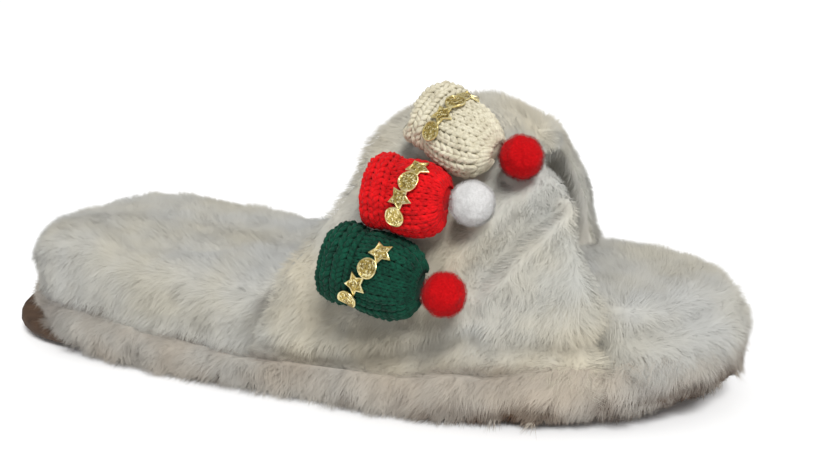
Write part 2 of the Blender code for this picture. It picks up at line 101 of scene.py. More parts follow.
def unit(vectors: Array) -> Array:
    """Vectors at length one."""
    return vectors / np.maximum(np.linalg.norm(vectors, axis=-1, keepdims=True), 1e-12)


def flat_to(vectors: Array, normals: Array) -> Array:
    """Vectors laid flat on the surfaces of the given normals, at length one."""
    return unit(vectors - normals * np.sum(vectors * normals, axis=-1, keepdims=True))


def wander(points: Array, wavelength: float, seed: int) -> Array:
    """Smooth uneven field over the shoe.

    Args:
        points: Places in the shoe.
        wavelength: Usual distance between two swells.
        seed: Which field.

    Returns:
        One value for each point, mostly from -1 to 1.
    """
    waves, stretches = 9, (0.7, 1.6)
    rng = np.random.default_rng(seed)
    total = np.zeros(len(points))
    for _ in range(waves):
        heading = unit(rng.normal(size=3))
        stretch = wavelength * rng.uniform(*stretches)
        total += np.sin(points @ heading * (FULL_TURN / stretch) + rng.uniform(0, FULL_TURN))
    return total / math.sqrt(waves)


def select_only(obj: Object) -> None:
    """Make one object the only selected and the active one.

    Args:
        obj: The object.
    """
    bpy.ops.object.select_all(action="DESELECT")
    obj.select_set(True)
    bpy.context.view_layer.objects.active = obj


def join_to(made: Object, others: list[Object]) -> None:
    """Join pieces to another one.

    Args:
        made: The piece that stays.
        others: The pieces that become part of it.
    """
    select_only(made)
    for other in others:
        other.select_set(True)
    bpy.ops.object.join()


def apply_modifier(obj: Object, kind: str, **settings: object) -> None:
    """Add a modifier, set it and apply it.

    Args:
        obj: The piece.
        kind: Blender's name of the modifier's type.
        settings: The modifier's own values.
    """
    select_only(obj)
    bpy.ops.object.modifier_add(type=kind)
    made = obj.modifiers[-1]
    for key, value in settings.items():
        setattr(made, key, value)
    bpy.ops.object.modifier_apply(modifier=made.name)


def bevel(obj: Object, width: float, angle: float) -> None:
    """Round a piece's sharp edges and split its faces into triangles.

    Args:
        obj: The piece.
        width: Width of the rounding.
        angle: Edges sharper than this are rounded, in degrees.
    """
    limit = {"limit_method": "ANGLE", "angle_limit": math.radians(angle)}
    apply_modifier(obj, "BEVEL", width=width, segments=2, **limit)
    apply_modifier(obj, "TRIANGULATE")


def soften(obj: Object, voxel: float, rounds: int) -> None:
    """Remesh a piece evenly and smooth it."""
    apply_modifier(obj, "REMESH", mode="VOXEL", voxel_size=voxel)
    apply_modifier(obj, "SMOOTH", factor=0.5, iterations=rounds)


def read_vertices(mesh: Mesh, what: str) -> Array:
    """One vector of each vertex of a mesh.

    Args:
        mesh: The mesh.
        what: Blender's name of the vector.

    Returns:
        Three numbers a row.
    """
    values = np.empty(len(mesh.vertices) * 3)
    mesh.vertices.foreach_get(what, values)
    return values.reshape(-1, 3)


def read_points(mesh: Mesh) -> Array:
    """Places of a mesh's vertices."""
    return read_vertices(mesh, "co")


def read_normals(mesh: Mesh) -> Array:
    """Normals of a mesh's vertices."""
    return read_vertices(mesh, "normal")


def read_triangles(mesh: Mesh) -> Array:
    """Vertex numbers of a mesh's triangles.

    Args:
        mesh: The mesh.

    Returns:
        Three vertex numbers a row.
    """
    mesh.calc_loop_triangles()
    values = np.empty(len(mesh.loop_triangles) * 3, np.int32)
    mesh.loop_triangles.foreach_get("vertices", values)
    return values.reshape(-1, 3)


def write_points(mesh: Mesh, points: Array) -> None:
    """Move a mesh's vertices."""
    mesh.vertices.foreach_set("co", points.astype(np.float32).ravel())
    mesh.update()


def note(made: Object, name: str, values: Array) -> None:
    """Store a number at each point of a piece."""
    made.data.attributes.new(name, "FLOAT", "POINT").data.foreach_set("value", values.astype(np.float32))


def mesh_piece(name: str, points: Array, quads: Array, triangles: Array) -> Object:
    """Smooth shaded object made from arrays.

    Args:
        name: Name of the piece.
        points: Places of the vertices.
        quads: Four vertex numbers a row.
        triangles: Three vertex numbers a row.

    Returns:
        The new object, at the origin.
    """
    mesh = bpy.data.meshes.new(name)
    mesh.vertices.add(len(points))
    mesh.vertices.foreach_set("co", points.astype(np.float32).ravel())
    corners = np.concatenate([quads.ravel(), triangles.ravel()]).astype(np.int32)
    sizes = np.concatenate([np.full(len(quads), 4), np.full(len(triangles), 3)])
    starts = np.concatenate([[0], np.cumsum(sizes)[:-1]]).astype(np.int32)
    mesh.loops.add(len(corners))
    mesh.loops.foreach_set("vertex_index", corners)
    mesh.polygons.add(len(sizes))
    mesh.polygons.foreach_set("loop_start", starts)
    mesh.update(calc_edges=True)
    mesh.validate()
    mesh.shade_smooth()
    made = bpy.data.objects.new(name, mesh)
    bpy.context.scene.collection.objects.link(made)
    return made


def solid_copy(node: str, name: str) -> Object:
    """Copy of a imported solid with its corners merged.

    Args:
        node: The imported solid.
        name: Name of the copy.

    Returns:
        The new object.
    """
    merge_distance = 1e-5
    made = bpy.data.objects.new(name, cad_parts[node].data.copy())
    bpy.context.scene.collection.objects.link(made)
    select_only(made)
    bpy.ops.object.mode_set(mode="EDIT")
    bpy.ops.mesh.select_all(action="SELECT")
    bpy.ops.mesh.remove_doubles(threshold=merge_distance)
    bpy.ops.object.mode_set(mode="OBJECT")
    bpy.ops.object.shade_smooth()
    made.data.materials.clear()
    return made


def tree_of_meshes(meshes: list[Mesh]) -> BVHTree:
    """Search tree over some meshes.

    Args:
        meshes: The meshes.

    Returns:
        One tree over all their faces.
    """
    points, faces = [], []
    for mesh in meshes:
        start = len(points)
        points += [v.co.copy() for v in mesh.vertices]
        faces += [[start + i for i in p.vertices] for p in mesh.polygons]
    return BVHTree.FromPolygons(points, faces)


def tree_of(nodes: list[str]) -> BVHTree:
    """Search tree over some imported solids."""
    return tree_of_meshes([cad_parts[node].data for node in nodes])


def open_along(tree: BVHTree, points: Array, normals: Array, reach: float) -> Array:
    """Which places have nothing in front of them.

    Args:
        tree: What may lie in front.
        points: The places.
        normals: Which way each looks.
        reach: How far each looks.

    Returns:
        True for each place that is open.
    """
    hits = [tree.ray_cast(Vector(p), Vector(n), reach)[0] for p, n in zip(points, normals)]
    return np.array([hit is None for hit in hits])


def distances(tree: BVHTree, points: Array, limit: float) -> Array:
    """Signed distance of points from a closed form.

    Args:
        tree: The form.
        points: The points.
        limit: The largest distance that is looked for.

    Returns:
        One distance a point, negative inside the form and at most the limit.
    """
    found = np.full(len(points), limit)
    for k, point in enumerate(points):
        place, normal, _, reach = tree.find_nearest(Vector(point), limit)
        if place is not None:
            found[k] = math.copysign(reach, (Vector(point) - place).dot(normal))
    return found


def relaxed(mesh: Mesh, rounds: int) -> Array:
    """Points of a mesh once each has been drawn half way to the mean of its neighbours, some rounds long.

    Args:
        mesh: Mesh whose points are read and left as they are.
        rounds: How often all points move.

    Returns:
        The points after the last round.
    """
    points = read_points(mesh)
    ends = np.empty(2 * len(mesh.edges), np.int32)
    mesh.edges.foreach_get("vertices", ends)
    ends = ends.reshape(-1, 2)
    ends = np.concatenate([ends, ends[:, ::-1]])
    count = np.bincount(ends[:, 0], minlength=len(points))[:, None]
    for _ in range(rounds):
        total = np.zeros_like(points)
        np.add.at(total, ends[:, 0], points[ends[:, 1]])
        points = (points + total / count) / 2
    return points


class Paint:
    """Node tree of one finish, with its shader at hand."""

    def __init__(self, name: str) -> None:
        """Start a material with a shader and Object coordinates.

        Args:
            name: Name of the material.
        """
        self.material = bpy.data.materials.new(name)
        self.material.use_nodes = True
        self.tree = self.material.node_tree
        self.shader = self.tree.nodes["Principled BSDF"]
        self.coordinates = self.node("TexCoord").outputs["Object"]

    def set(self, **values: float) -> None:
        """Set the shader's own sockets, named with _ for a space."""
        for key, value in values.items():
            self.shader.inputs[key.replace("_", " ")].default_value = value

    def feed(self, target: Socket, source: Socket | Colour | float) -> None:
        """Link a socket, or give it a colour or a number.

        Args:
            target: The socket.
            source: What it takes.
        """
        if isinstance(source, Socket):
            self.tree.links.new(source, target)
        elif isinstance(source, tuple):
            target.default_value = (*source, 1.0)
        else:
            target.default_value = source

    def node(self, kind: str, **inputs: Socket | float) -> bpy.types.Node:
        """Add a node and feed its inputs.

        Args:
            kind: Blender's name of the node's type, without its first word.
            inputs: What each input takes, named with _ for a space.

        Returns:
            The node.
        """
        made = self.tree.nodes.new("ShaderNode" + kind)
        for key, source in inputs.items():
            self.feed(made.inputs[key.replace("_", " ")], source)
        return made

    def noise(self, scale: float, detail: float = 2.0, roughness: float = 0.5) -> Socket:
        """Noise over the piece, scale in swells a metre."""
        made = self.node("TexNoise", Scale=scale, Detail=detail, Roughness=roughness, Vector=self.coordinates)
        return made.outputs["Fac"]

    def attribute(self, name: str) -> Socket:
        """A number that the mesh carries at its points.

        Args:
            name: Name of the number.

        Returns:
            Its socket.
        """
        made = self.node("Attribute")
        made.attribute_name = name
        return made.outputs["Fac"]

    def between(self, value: Socket, low: float, high: float, first: float = 0.0,
                last: float = 1.0) -> Socket:
        """Map a value from low..high to first..last, clamped."""
        made = self.node("MapRange", Value=value, From_Min=low, From_Max=high, To_Min=first, To_Max=last)
        return made.outputs["Result"]

    def math(self, how: str, first: Socket | float, second: Socket | float) -> Socket:
        """Two values put together.

        Args:
            how: Blender's name of the operation.
            first: One value.
            second: The other.

        Returns:
            The result's socket.
        """
        made = self.node("Math")
        made.operation = how
        self.feed(made.inputs[0], first)
        self.feed(made.inputs[1], second)
        return made.outputs[0]

    def mix(self, share: Socket | float, first: Socket | Colour, second: Socket | Colour,
            how: str = "MIX") -> Socket:
        """Two colours mixed.

        Args:
            share: How much of the second there is.
            first: The colour at share 0.
            second: The colour that is mixed in.
            how: Blender's name of the way of mixing.

        Returns:
            The mixed colour's socket.
        """
        colours = {6: first, 7: second}
        made = self.node("Mix")
        made.data_type = "RGBA"
        made.blend_type = how
        self.feed(made.inputs["Factor"], share)
        for number, colour in colours.items():
            self.feed(made.inputs[number], colour)
        return made.outputs[2]

    def colour(self, source: Socket) -> None:
        """Give the shader its colour."""
        self.tree.links.new(source, self.shader.inputs["Base Color"])

    def two_tone(self, share: Socket, edge: Pair, first: Socket | Colour, second: Colour) -> None:
        """Give the shader two colours that run into each other where a share crosses an edge."""
        self.colour(self.mix(self.between(share, *edge), first, second))

    def bump(self, height: Socket, distance: float, strength: float = 1.0) -> None:
        """Give the shader a bump of a real height."""
        made = self.node("Bump", Strength=strength, Distance=distance, Height=height)
        self.tree.links.new(made.outputs["Normal"], self.shader.inputs["Normal"])


@dataclass(frozen=True)
class FurFinish:
    """Brushed plush: pale tips, roots a touch darker as painted shade down in the pile, warm and cool
    patches, and brown painted shade with some dirt where the mesh says so.
    """

    name: str
    warm: Colour
    cool: Colour
    # Brown of the painted shade, with some dirt, in joins, creases and under the hem.
    shade_and_dirt: Colour = linear(70, 46, 26)
    shade_and_dirt_edge: Pair = (0.3, 0.6)
    shade_and_dirt_least: float = 0.6
    # Roots a touch darker, as painted shade down in the pile.
    root: float = 0.98
    tip_from: float = 0.8
    uneven: float = 0.05
    patch_scale: float = 30.0
    patch_edge: Pair = (0.36, 0.64)
    streak_scale: float = 130.0
    streak_edge: Pair = (0.3, 0.7)
    streak_light: float = 1.04

    def material(self) -> Material:
        """Material for skin and hair alike.

        Returns:
            The new material.
        """
        paint = Paint(self.name)
        patches = paint.between(paint.noise(self.patch_scale, 3.0), *self.patch_edge)
        colour = paint.mix(patches, self.cool, self.warm)
        streaks = paint.noise(self.streak_scale)
        dim = 1 - self.uneven
        tone = paint.between(paint.attribute("along"), 0.0, self.tip_from, self.root, 1.0)
        tone = paint.math("MULTIPLY", tone, paint.between(paint.attribute("hair"), 0.0, 1.0, dim, 1.0))
        tone = paint.math("MULTIPLY", tone, paint.between(streaks, *self.streak_edge, dim, self.streak_light))
        # Mix in the mesh's share of painted shade, with some dirt, in patches.
        patchy = paint.between(streaks, *self.shade_and_dirt_edge, self.shade_and_dirt_least, 1.0)
        colour = paint.mix(paint.math("MULTIPLY", paint.attribute("shade_and_dirt"), patchy), colour, self.shade_and_dirt)
        grey = paint.node("CombineColor", Red=tone, Green=tone, Blue=tone).outputs["Color"]
        paint.colour(paint.mix(1.0, colour, grey, "MULTIPLY"))
        paint.set(Roughness=0.85, Specular_IOR_Level=0.15, Sheen_Weight=0.12, Sheen_Roughness=0.5)
        return paint.material


@dataclass(frozen=True)
class YarnFinish:
    """Soft wool yarn with lighter fibres and clouds through it."""

    name: str
    deep: Colour
    light: Colour
    fibre_scale: float = 1500.0
    fibre_share: float = 0.65
    cloud_scale: float = 240.0
    cloud_share: float = 0.5
    edge: Pair = (0.40, 0.75)
    relief: float = 0.00018

    def material(self) -> Material:
        """Material of stitches and their fuzz.

        Returns:
            The new material.
        """
        paint = Paint(self.name)
        fibres = paint.noise(self.fibre_scale, 3.0, 0.6)
        clouds = paint.noise(self.cloud_scale)
        twist = paint.between(paint.math("SINE", paint.attribute("ply"), 0.0), -1.0, 1.0)
        share = paint.math("ADD", paint.math("MULTIPLY", fibres, self.fibre_share),
                           paint.math("MULTIPLY", clouds, self.cloud_share))
        paint.two_tone(share, self.edge, self.deep, self.light)
        paint.bump(paint.math("ADD", fibres, twist), self.relief, 0.6)
        paint.set(Roughness=0.85, Specular_IOR_Level=0.2, Sheen_Weight=0.06, Sheen_Roughness=0.45)
        return paint.material


@dataclass(frozen=True)
class FeltFinish:
    """Short dense felt of a pompom."""

    name: str
    deep: Colour
    light: Colour
    grain_scale: float = 1900.0
    edge: Pair = (0.3, 0.7)
    relief: float = 0.0003

    @cache
    def material(self) -> Material:
        """Material of a pompom and its fuzz.

        Returns:
            The material, the same one each time.
        """
        paint = Paint(self.name)
        grain = paint.noise(self.grain_scale, 4.0, 0.65)
        paint.two_tone(grain, self.edge, self.deep, self.light)
        paint.bump(grain, self.relief, 0.7)
        paint.set(Roughness=0.95, Specular_IOR_Level=0.1, Sheen_Weight=0.05, Sheen_Roughness=0.4)
        return paint.material


@dataclass(frozen=True)
class GoldFinish:
    """Gold foil, plain on the rims and full of glitter inside them."""

    name: str
    foil: Colour
    bright: Colour
    dark: Colour
    wear_scale: float = 700.0
    wear_edge: Pair = (0.3, 0.7)
    wear_relief: float = 0.00006
    flake: float = 0.00042
    flake_relief: float = 0.0003
    dark_edge: Pair = (0.0, 0.6)
    bright_edge: Pair = (0.72, 0.8)

    @cache
    def rim(self) -> Material:
        """Plain foil of the raised rims.

        Returns:
            The material, the same one each time.
        """
        paint = Paint(self.name + "_rim")
        worn = paint.noise(self.wear_scale, 3.0)
        paint.two_tone(worn, self.wear_edge, self.foil, self.bright)
        paint.bump(worn, self.wear_relief)
        paint.set(Metallic=1.0, Roughness=0.28)
        return paint.material

    @cache
    def glitter(self) -> Material:
        """Flakes that face every way, some painted pale as glints and some painted dark as shade.

        Returns:
            The material, the same one each time.
        """
        paint = Paint(self.name + "_glitter")
        flakes = paint.node("TexVoronoi", Scale=1 / self.flake, Vector=paint.coordinates)
        one = paint.node("SeparateColor", Color=flakes.outputs["Color"]).outputs
        # Random flakes painted dark as shade, others painted pale as glints.
        base = paint.mix(paint.between(one["Red"], *self.dark_edge), self.dark, self.foil)
        paint.two_tone(one["Green"], self.bright_edge, base, self.bright)
        paint.bump(one["Blue"], self.flake_relief)
        paint.set(Metallic=0.9, Roughness=0.32)
        return paint.material


@dataclass(frozen=True)
class SoleFinish:
    """Matt brown moulded sole with a fine grain."""

    name: str
    dark: Colour
    light: Colour
    cloud_scale: float = 160.0
    cloud_edge: Pair = (0.35, 0.65)
    grain_scale: float = 2200.0
    relief: float = 0.00025

    def material(self) -> Material:
        """Material of the sole.

        Returns:
            The new material.
        """
        paint = Paint(self.name)
        paint.two_tone(paint.noise(self.cloud_scale, 4.0, 0.6), self.cloud_edge, self.dark, self.light)
        paint.bump(paint.noise(self.grain_scale, 3.0), self.relief, 0.7)
        paint.set(Roughness=0.8, Specular_IOR_Level=0.3)
        return paint.material


class Fur(Enum):
    """The plush of each fur piece: one plush, in tones matched to the light on each piece, so the wrap is
    painted darker as shade and the band and most of all the lining are painted lighter.
    """

    FOOTBED = FurFinish("footbed_plush", linear(187, 183, 170), linear(182, 182, 178))
    BAND = FurFinish("band_plush", linear(197, 190, 172), linear(187, 187, 181))
    WRAP = FurFinish("wrap_plush", linear(178, 168, 154), linear(172, 169, 162))
    # The lining's lighter tone is painted light inside the shaded band.
    LINING = FurFinish("lining_plush", linear(210, 204, 191), linear(204, 203, 197))


class Yarn(Enum):
    """The yarn of each cap."""

    GREEN = YarnFinish("green_wool", linear(0, 34, 24), linear(6, 75, 55))
    RED = YarnFinish("red_wool", linear(168, 2, 8), linear(224, 12, 20))
    CREAM = YarnFinish("cream_wool", linear(182, 174, 150), linear(220, 214, 192))


class Felt(Enum):
    """The felt of the pompoms."""

    RED = FeltFinish("red_felt", linear(160, 4, 10), linear(200, 16, 22))
    WHITE = FeltFinish("white_felt", linear(191, 190, 188), linear(214, 213, 212))


# The pale colour paints glints on some glitter flakes and the dark one paints shade on others; the pale one
# also lightens the rims' worn patches.
GOLD = GoldFinish("gold", linear(196, 172, 96), linear(250, 240, 190), linear(112, 88, 40))
SOLE = SoleFinish("brown_sole", linear(58, 42, 30), linear(82, 62, 46))


def dress(obj: Object, look: Material, slot: str, *nodes: str) -> None:
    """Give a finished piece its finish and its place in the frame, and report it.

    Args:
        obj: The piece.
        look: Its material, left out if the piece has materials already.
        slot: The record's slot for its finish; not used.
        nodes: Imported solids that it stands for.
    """
    if not obj.data.materials:
        obj.data.materials.append(look)
    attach(obj, BODY)
    if nodes:
        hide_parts(*nodes)
    log.info("%s: %d triangles", obj.name, len(read_triangles(obj.data)))


@dataclass(frozen=True)
class Pile:
    """How the hair of one coat is cut and brushed."""

    length: float
    width: float = 0.00018
    uneven: float = 0.25
    lift: float = 0.74
    lift_limits: Pair = (0.05, 0.97)
    settle: float = 0.42
    settle_limits: Pair = (-0.3, 0.97)
    spread: float = 0.08
    tuft: float = 0.0060
    tuft_lengths: Pair = (0.85, 1.12)
    gather: float = 0.12
    gather_low: float = 0.4
    swirl: float = 0.45
    swirl_wave: float = 0.055
    stray: float = 0.30
    widths: Pair = (0.75, 1.25)
    twist: float = 0.5


WOOL_FUZZ = Pile(0.0026, 0.00008, lift=0.8, settle=0.4, swirl=3.0)
FELT_FUZZ = Pile(0.0011, 0.00008, lift=0.9, settle=0.7, swirl=3.0, tuft=0.002)


def everywhere(points: Array, normals: Array) -> Array:
    """Full length all over."""
    return np.ones(len(points))


def no_shade_or_dirt(points: Array, normals: Array) -> Array:
    """No painted shade or dirt anywhere."""
    return np.zeros(len(points))


def as_grown(points: Array, normals: Array) -> Array:
    """Hair that shades as the skin under it."""
    return normals


@dataclass
class Coat:
    """Hair on one skin: thin tapering blades with two faces, brushed and gathered into tufts."""

    name: str
    skin: Mesh
    pile: Pile
    comb: Field
    seed: int
    length: Field = everywhere
    # Share of painted shade, with some dirt, at each root.
    shade_and_dirt: Field = no_shade_or_dirt
    clear_of: BVHTree | None = None
    facing: Field = as_grown
    casts: bool = False
    clear_by: float = 0.0004
    clear_reach: float = 0.02
    foot_share: float = 0.35
    blade: float = 0.00002
    fewest_tufts: int = 4
    skin_shade: float = 0.9
    own_shade: float = 0.1
    uneven_shade: float = 0.06

    def roots(self, count: int, weights: Array) -> tuple[Array, Array]:
        """Even places on the skin.

        Args:
            count: How many.
            weights: How much hair each triangle of the skin bears, from 0 to 1.

        Returns:
            Places and normals.
        """
        rng = np.random.default_rng(self.seed)
        triangles = read_triangles(self.skin)
        corners = read_points(self.skin)[triangles]
        normals = read_normals(self.skin)[triangles]
        across = np.cross(corners[:, 1] - corners[:, 0], corners[:, 2] - corners[:, 0])
        total = np.cumsum(np.linalg.norm(across, axis=1) * weights)
        steps = (np.arange(count) + rng.random(count)) / count * total[-1]
        picked = np.minimum(np.searchsorted(total, steps), len(triangles) - 1)
        share = rng.dirichlet((1, 1, 1), count)[:, :, None]
        return np.sum(corners[picked] * share, axis=1), unit(np.sum(normals[picked] * share, axis=1))

    def strands(self, roots: Array, normals: Array) -> tuple[Array, Array]:
        """Bend and tip of each hair.

        Args:
            roots: Where the hairs grow.
            normals: The skin's normals there.

        Returns:
            Bends and tips.
        """
        pile = self.pile
        count = len(roots)
        rng = np.random.default_rng(self.seed + 1)
        flow = flat_to(self.comb(roots, normals), normals)
        heads = rng.permutation(count)[: self.tufts(roots)]
        search = KDTree(len(heads))
        for k, head in enumerate(heads):
            search.insert(roots[head], k)
        search.balance()
        tuft = np.array([search.find(point)[1] for point in roots])
        turn = pile.swirl * wander(roots, pile.swirl_wave, self.seed + 2)
        turn += rng.normal(0, pile.stray, len(heads))[tuft] + rng.normal(0, pile.stray, count)
        side = np.cross(normals, flow)
        flow = flow * np.cos(turn)[:, None] + side * np.sin(turn)[:, None]
        length = pile.length * self.length(roots, normals) * (1 + pile.uneven * rng.uniform(-1, 1, count))
        length *= rng.uniform(*pile.tuft_lengths, len(heads))[tuft]
        lift = np.clip(pile.lift + rng.normal(0, pile.spread, count), *pile.lift_limits)[:, None]
        settle = np.clip(pile.settle + rng.normal(0, pile.spread, count), *pile.settle_limits)[:, None]
        low = flow * np.sqrt(1 - lift**2) + normals * lift
        high = flow * np.sqrt(1 - settle**2) + normals * settle
        bends = roots + low * length[:, None] / 2
        tips = bends + high * length[:, None] / 2
        bends += (bends[heads[tuft]] - bends) * pile.gather * pile.gather_low
        tips += (tips[heads[tuft]] - tips) * pile.gather
        return bends, tips

    def tufts(self, roots: Array) -> int:
        """How many tufts the roots fall into."""
        cells = np.unique(np.floor(roots / self.pile.tuft).astype(int), axis=0)
        return max(self.fewest_tufts, len(cells) // 2)

    def grow(self, count: int, weights: Array) -> Object:
        """Make the coat.

        Args:
            count: How many hairs.
            weights: How much hair each triangle of the skin bears.

        Returns:
            The coat's object.
        """
        roots, normals = self.roots(count, weights)
        bends, tips = self.strands(roots, normals)
        if self.clear_of is not None:
            kept = self.untouched(bends, tips)
            roots, normals, bends, tips = roots[kept], normals[kept], bends[kept], tips[kept]
        count = len(roots)
        rng = np.random.default_rng(self.seed + 3)
        heading = unit(tips - roots)
        side = unit(np.cross(heading, normals))
        twist = rng.normal(0, self.pile.twist, count)[:, None]
        side = side * np.cos(twist) + np.cross(heading, side) * np.sin(twist)
        half = side * (self.pile.width / 2 * rng.uniform(*self.pile.widths, count))[:, None]
        upper = unit(np.cross(side, heading))
        foot = roots + (bends - roots) * self.foot_share
        left, right, thin = foot - half, foot + half, upper * self.blade
        points = np.stack([left, right, left - thin, right - thin, tips], axis=1)
        points[:, :, 2] = np.maximum(points[:, :, 2], FLOOR_CLEAR)
        corners = points.shape[1]
        first = np.arange(count)[:, None] * corners
        faces = np.stack([first + [0, 1, 4], first + [3, 2, 4]], axis=1).reshape(-1, 3)
        made = mesh_piece(self.name, points.reshape(-1, 3), NO_QUADS, faces)
        shading = self.facing(roots, normals) * self.skin_shade + upper * self.own_shade
        shading = unit(shading + rng.normal(0, self.uneven_shade, (count, 3)))
        made.data.normals_split_custom_set_from_vertices(np.repeat(shading, corners, axis=0).tolist())
        note(made, "along", np.tile([0.0, 0.0, 0.0, 0.0, 1.0], count))
        note(made, "hair", np.repeat(rng.random(count), corners))
        # Painted shade, with some dirt, that the material mixes in.
        note(made, "shade_and_dirt", np.repeat(self.shade_and_dirt(roots, normals), corners))
        made.visible_shadow = self.casts
        return made

    def untouched(self, bends: Array, tips: Array) -> Array:
        """Hairs that don't run into the pieces they keep clear of."""
        gaps = [distances(self.clear_of, places, self.clear_reach) for places in (bends, tips)]
        return np.minimum(*gaps) > self.clear_by


@dataclass(frozen=True)
class Crease:
    """Soft trough with a low ridge on either side, along points in the shoe."""

    points: tuple[Point, ...]
    width: float
    depth: float
    ridge: float = 0.45
    ridge_at: float = 2
    # Share of painted shade, with some dirt, down in the trough.
    shade_and_dirt: float = 0.25
    steep_side: Point = (0.0, 0.0, 0.0)
    steep_share: float = 1.0
    steep_edge: Pair = (-0.001, 0.001)

    def reach(self, places: Array) -> Array:
        """How far places lie from the crease's line.

        Args:
            places: The places.

        Returns:
            One distance a place, in the crease's widths on that side.
        """
        line = np.array(self.points)
        found = np.full(len(places), np.inf)
        for start, end in zip(line, line[1:]):
            run = end - start
            share = np.clip((places - start) @ run / (run @ run), 0, 1)[:, None]
            offset = places - start - share * run
            steep = soft_step(*self.steep_edge, offset @ np.array(self.steep_side))
            width = self.width * (1 + (self.steep_share - 1) * steep)
            found = np.minimum(found, np.linalg.norm(offset, axis=1) / width)
        return found

    def trough(self, places: Array) -> Array:
        """How far down in the crease each place lies, from 0 to 1."""
        return np.exp(-(self.reach(places) ** 2))

    def press(self, places: Array) -> Array:
        """Height that the crease adds along the skin's normals at each place."""
        ridge = np.exp(-((self.reach(places) - self.ridge_at) ** 2))
        return self.depth * (self.ridge * ridge - self.trough(places))


@dataclass
class FurPiece:
    """A padded piece under fur: its skin, creased along listed lines, and its coat of hair."""

    node: str
    slot: str
    finish: FurFinish
    pile: Pile
    inset: float
    fill: float
    seed: int
    creases: tuple[Crease, ...] = ()
    crease_thin: float = 0.6
    voxel: float = 0.0022
    smoothing: int = 8
    lumps: float = 0.0006
    lump_wave: float = 0.032
    clumps: float = 0.0004
    clump_wave: float = 0.012
    room_reach: float = 0.008
    open_room: Pair = (0.0008, 0.006)
    cover: float = 0.0010
    # Painted shade, with some dirt, where the piece meets the others.
    join_shade_and_dirt: float = 0.70
    join_room: Pair = (0.0042, 0.0006)
    patch_shade_and_dirt: Pair = (0.70, 0.45)
    patch_wave: float = 0.045
    toe_at: Pair = (0.072, 0.096)
    toe_swell: float = 0.0024
    toe_room: Pair = (0.0055, 0.0012)
    guard_share: float = 0.15
    glow: float = 0.4

    def skin(self) -> Object:
        """Backing of the fur, pressed into its creases.

        Returns:
            The skin's object.
        """
        made = solid_copy(self.node, self.node + "_skin")
        soften(made, self.voxel, self.smoothing)
        mesh = made.data
        points, normals = read_points(mesh), read_normals(mesh)
        room = distances(self.neighbours(), points, self.room_reach)
        lumps = self.lumps * wander(points, self.lump_wave, self.seed)
        lumps += self.clumps * wander(points, self.clump_wave, self.seed + 1)
        move = (lumps - self.inset) * soft_step(*self.open_room, room)
        move += self.toe_swell * self.toe(points) * soft_step(*self.toe_room, room)
        for crease in self.creases:
            move += crease.press(points)
        points += normals * move[:, None]
        points[:, 2] = np.maximum(points[:, 2], FLOOR_CLEAR)
        write_points(mesh, points)
        mesh.shade_smooth()
        for name in ("along", "hair"):
            note(made, name, np.full(len(points), 1.0))
        # Painted shade, with some dirt, that the material mixes in.
        note(made, "shade_and_dirt", self.shade_and_dirt(points, normals))
        return made

    def toe(self, points: Array) -> Array:
        """1 at the toe, where wrap and footbed grow into one round mass, and 0 behind it."""
        return soft_step(*self.toe_at, points[:, 0])

    def shade_and_dirt(self, points: Array, normals: Array) -> Array:
        """How much brown to paint on the fur as shade, with some dirt: where pieces join and in the creases.

        Args:
            points: Places on the skin.
            normals: The skin's normals there.

        Returns:
            One share a place, from 0 to 1.
        """
        room = distances(self.neighbours(), points, self.join_room[0])
        least, more = self.patch_shade_and_dirt
        patchy = np.clip(least + more * wander(points, self.patch_wave, self.seed + 8), 0, 1)
        # Painted shade where the piece meets its neighbours, in patches, left off at the toe.
        total = self.join_shade_and_dirt * patchy * soft_step(*self.join_room, room) * (1 - self.toe(points))
        # Painted shade, with some dirt, down in each crease's trough.
        for crease in self.creases:
            total = np.maximum(total, crease.shade_and_dirt * crease.trough(points))
        return total

    def coat(self, name: str, made: Object, seed: int) -> Coat:
        """The piece's own hair on its skin, not grown yet."""
        return Coat(name, made.data, self.pile, self.comb, seed, self.length, self.shade_and_dirt, facing=self.facing)

    def grow(self, coat: Coat, count: int, weights: Array, look: Material) -> None:
        """Grow underfur that lets the light through, and sparser guard hairs that cast shadows over it.

        Args:
            coat: How both lie, named for the two together.
            count: How many hairs in all.
            weights: How much hair each triangle of the skin bears.
            look: Their material.
        """
        guards = int(count * self.guard_share)
        under = replace(coat, name=coat.name + "_under")
        dress(under.grow(count - guards, weights), look, self.slot)
        guard = replace(coat, name=coat.name + "_guard", seed=coat.seed + 5, casts=True)
        dress(guard.grow(guards, weights), look, self.slot)

    def complete(self, made: Object, look: Material) -> None:
        dress(made, look, self.slot, self.node)

    def facing(self, points: Array, normals: Array) -> Array:
        """Plush shades softer than its skin, as if it faced more to the sky."""
        return unit(normals + np.array([0.0, 0.0, self.glow]))

    def faces(self, made: Object) -> tuple[Array, Array]:
        """Middles and normals of the skin's triangles.

        Args:
            made: The skin.

        Returns:
            Middles and normals.
        """
        triangles = read_triangles(made.data)
        normals = read_normals(made.data)[triangles].mean(axis=1)
        return read_points(made.data)[triangles].mean(axis=1), unit(normals)

    def neighbours(self) -> BVHTree:
        """The other large solids."""
        return tree_of([node for node in LARGE_SOLIDS if node != self.node])

    def comb(self, points: Array, normals: Array) -> Array:
        """Which way the hair is brushed."""
        raise NotImplementedError

    def length(self, points: Array, normals: Array) -> Array:
        """How long the hair is, shorter down in the creases.

        Args:
            points: Places on the skin.
            normals: The skin's normals there.

        Returns:
            Share of the pile's length at each place.
        """
        share = np.ones(len(points))
        for crease in self.creases:
            share *= 1 - self.crease_thin * crease.trough(points)
        return share


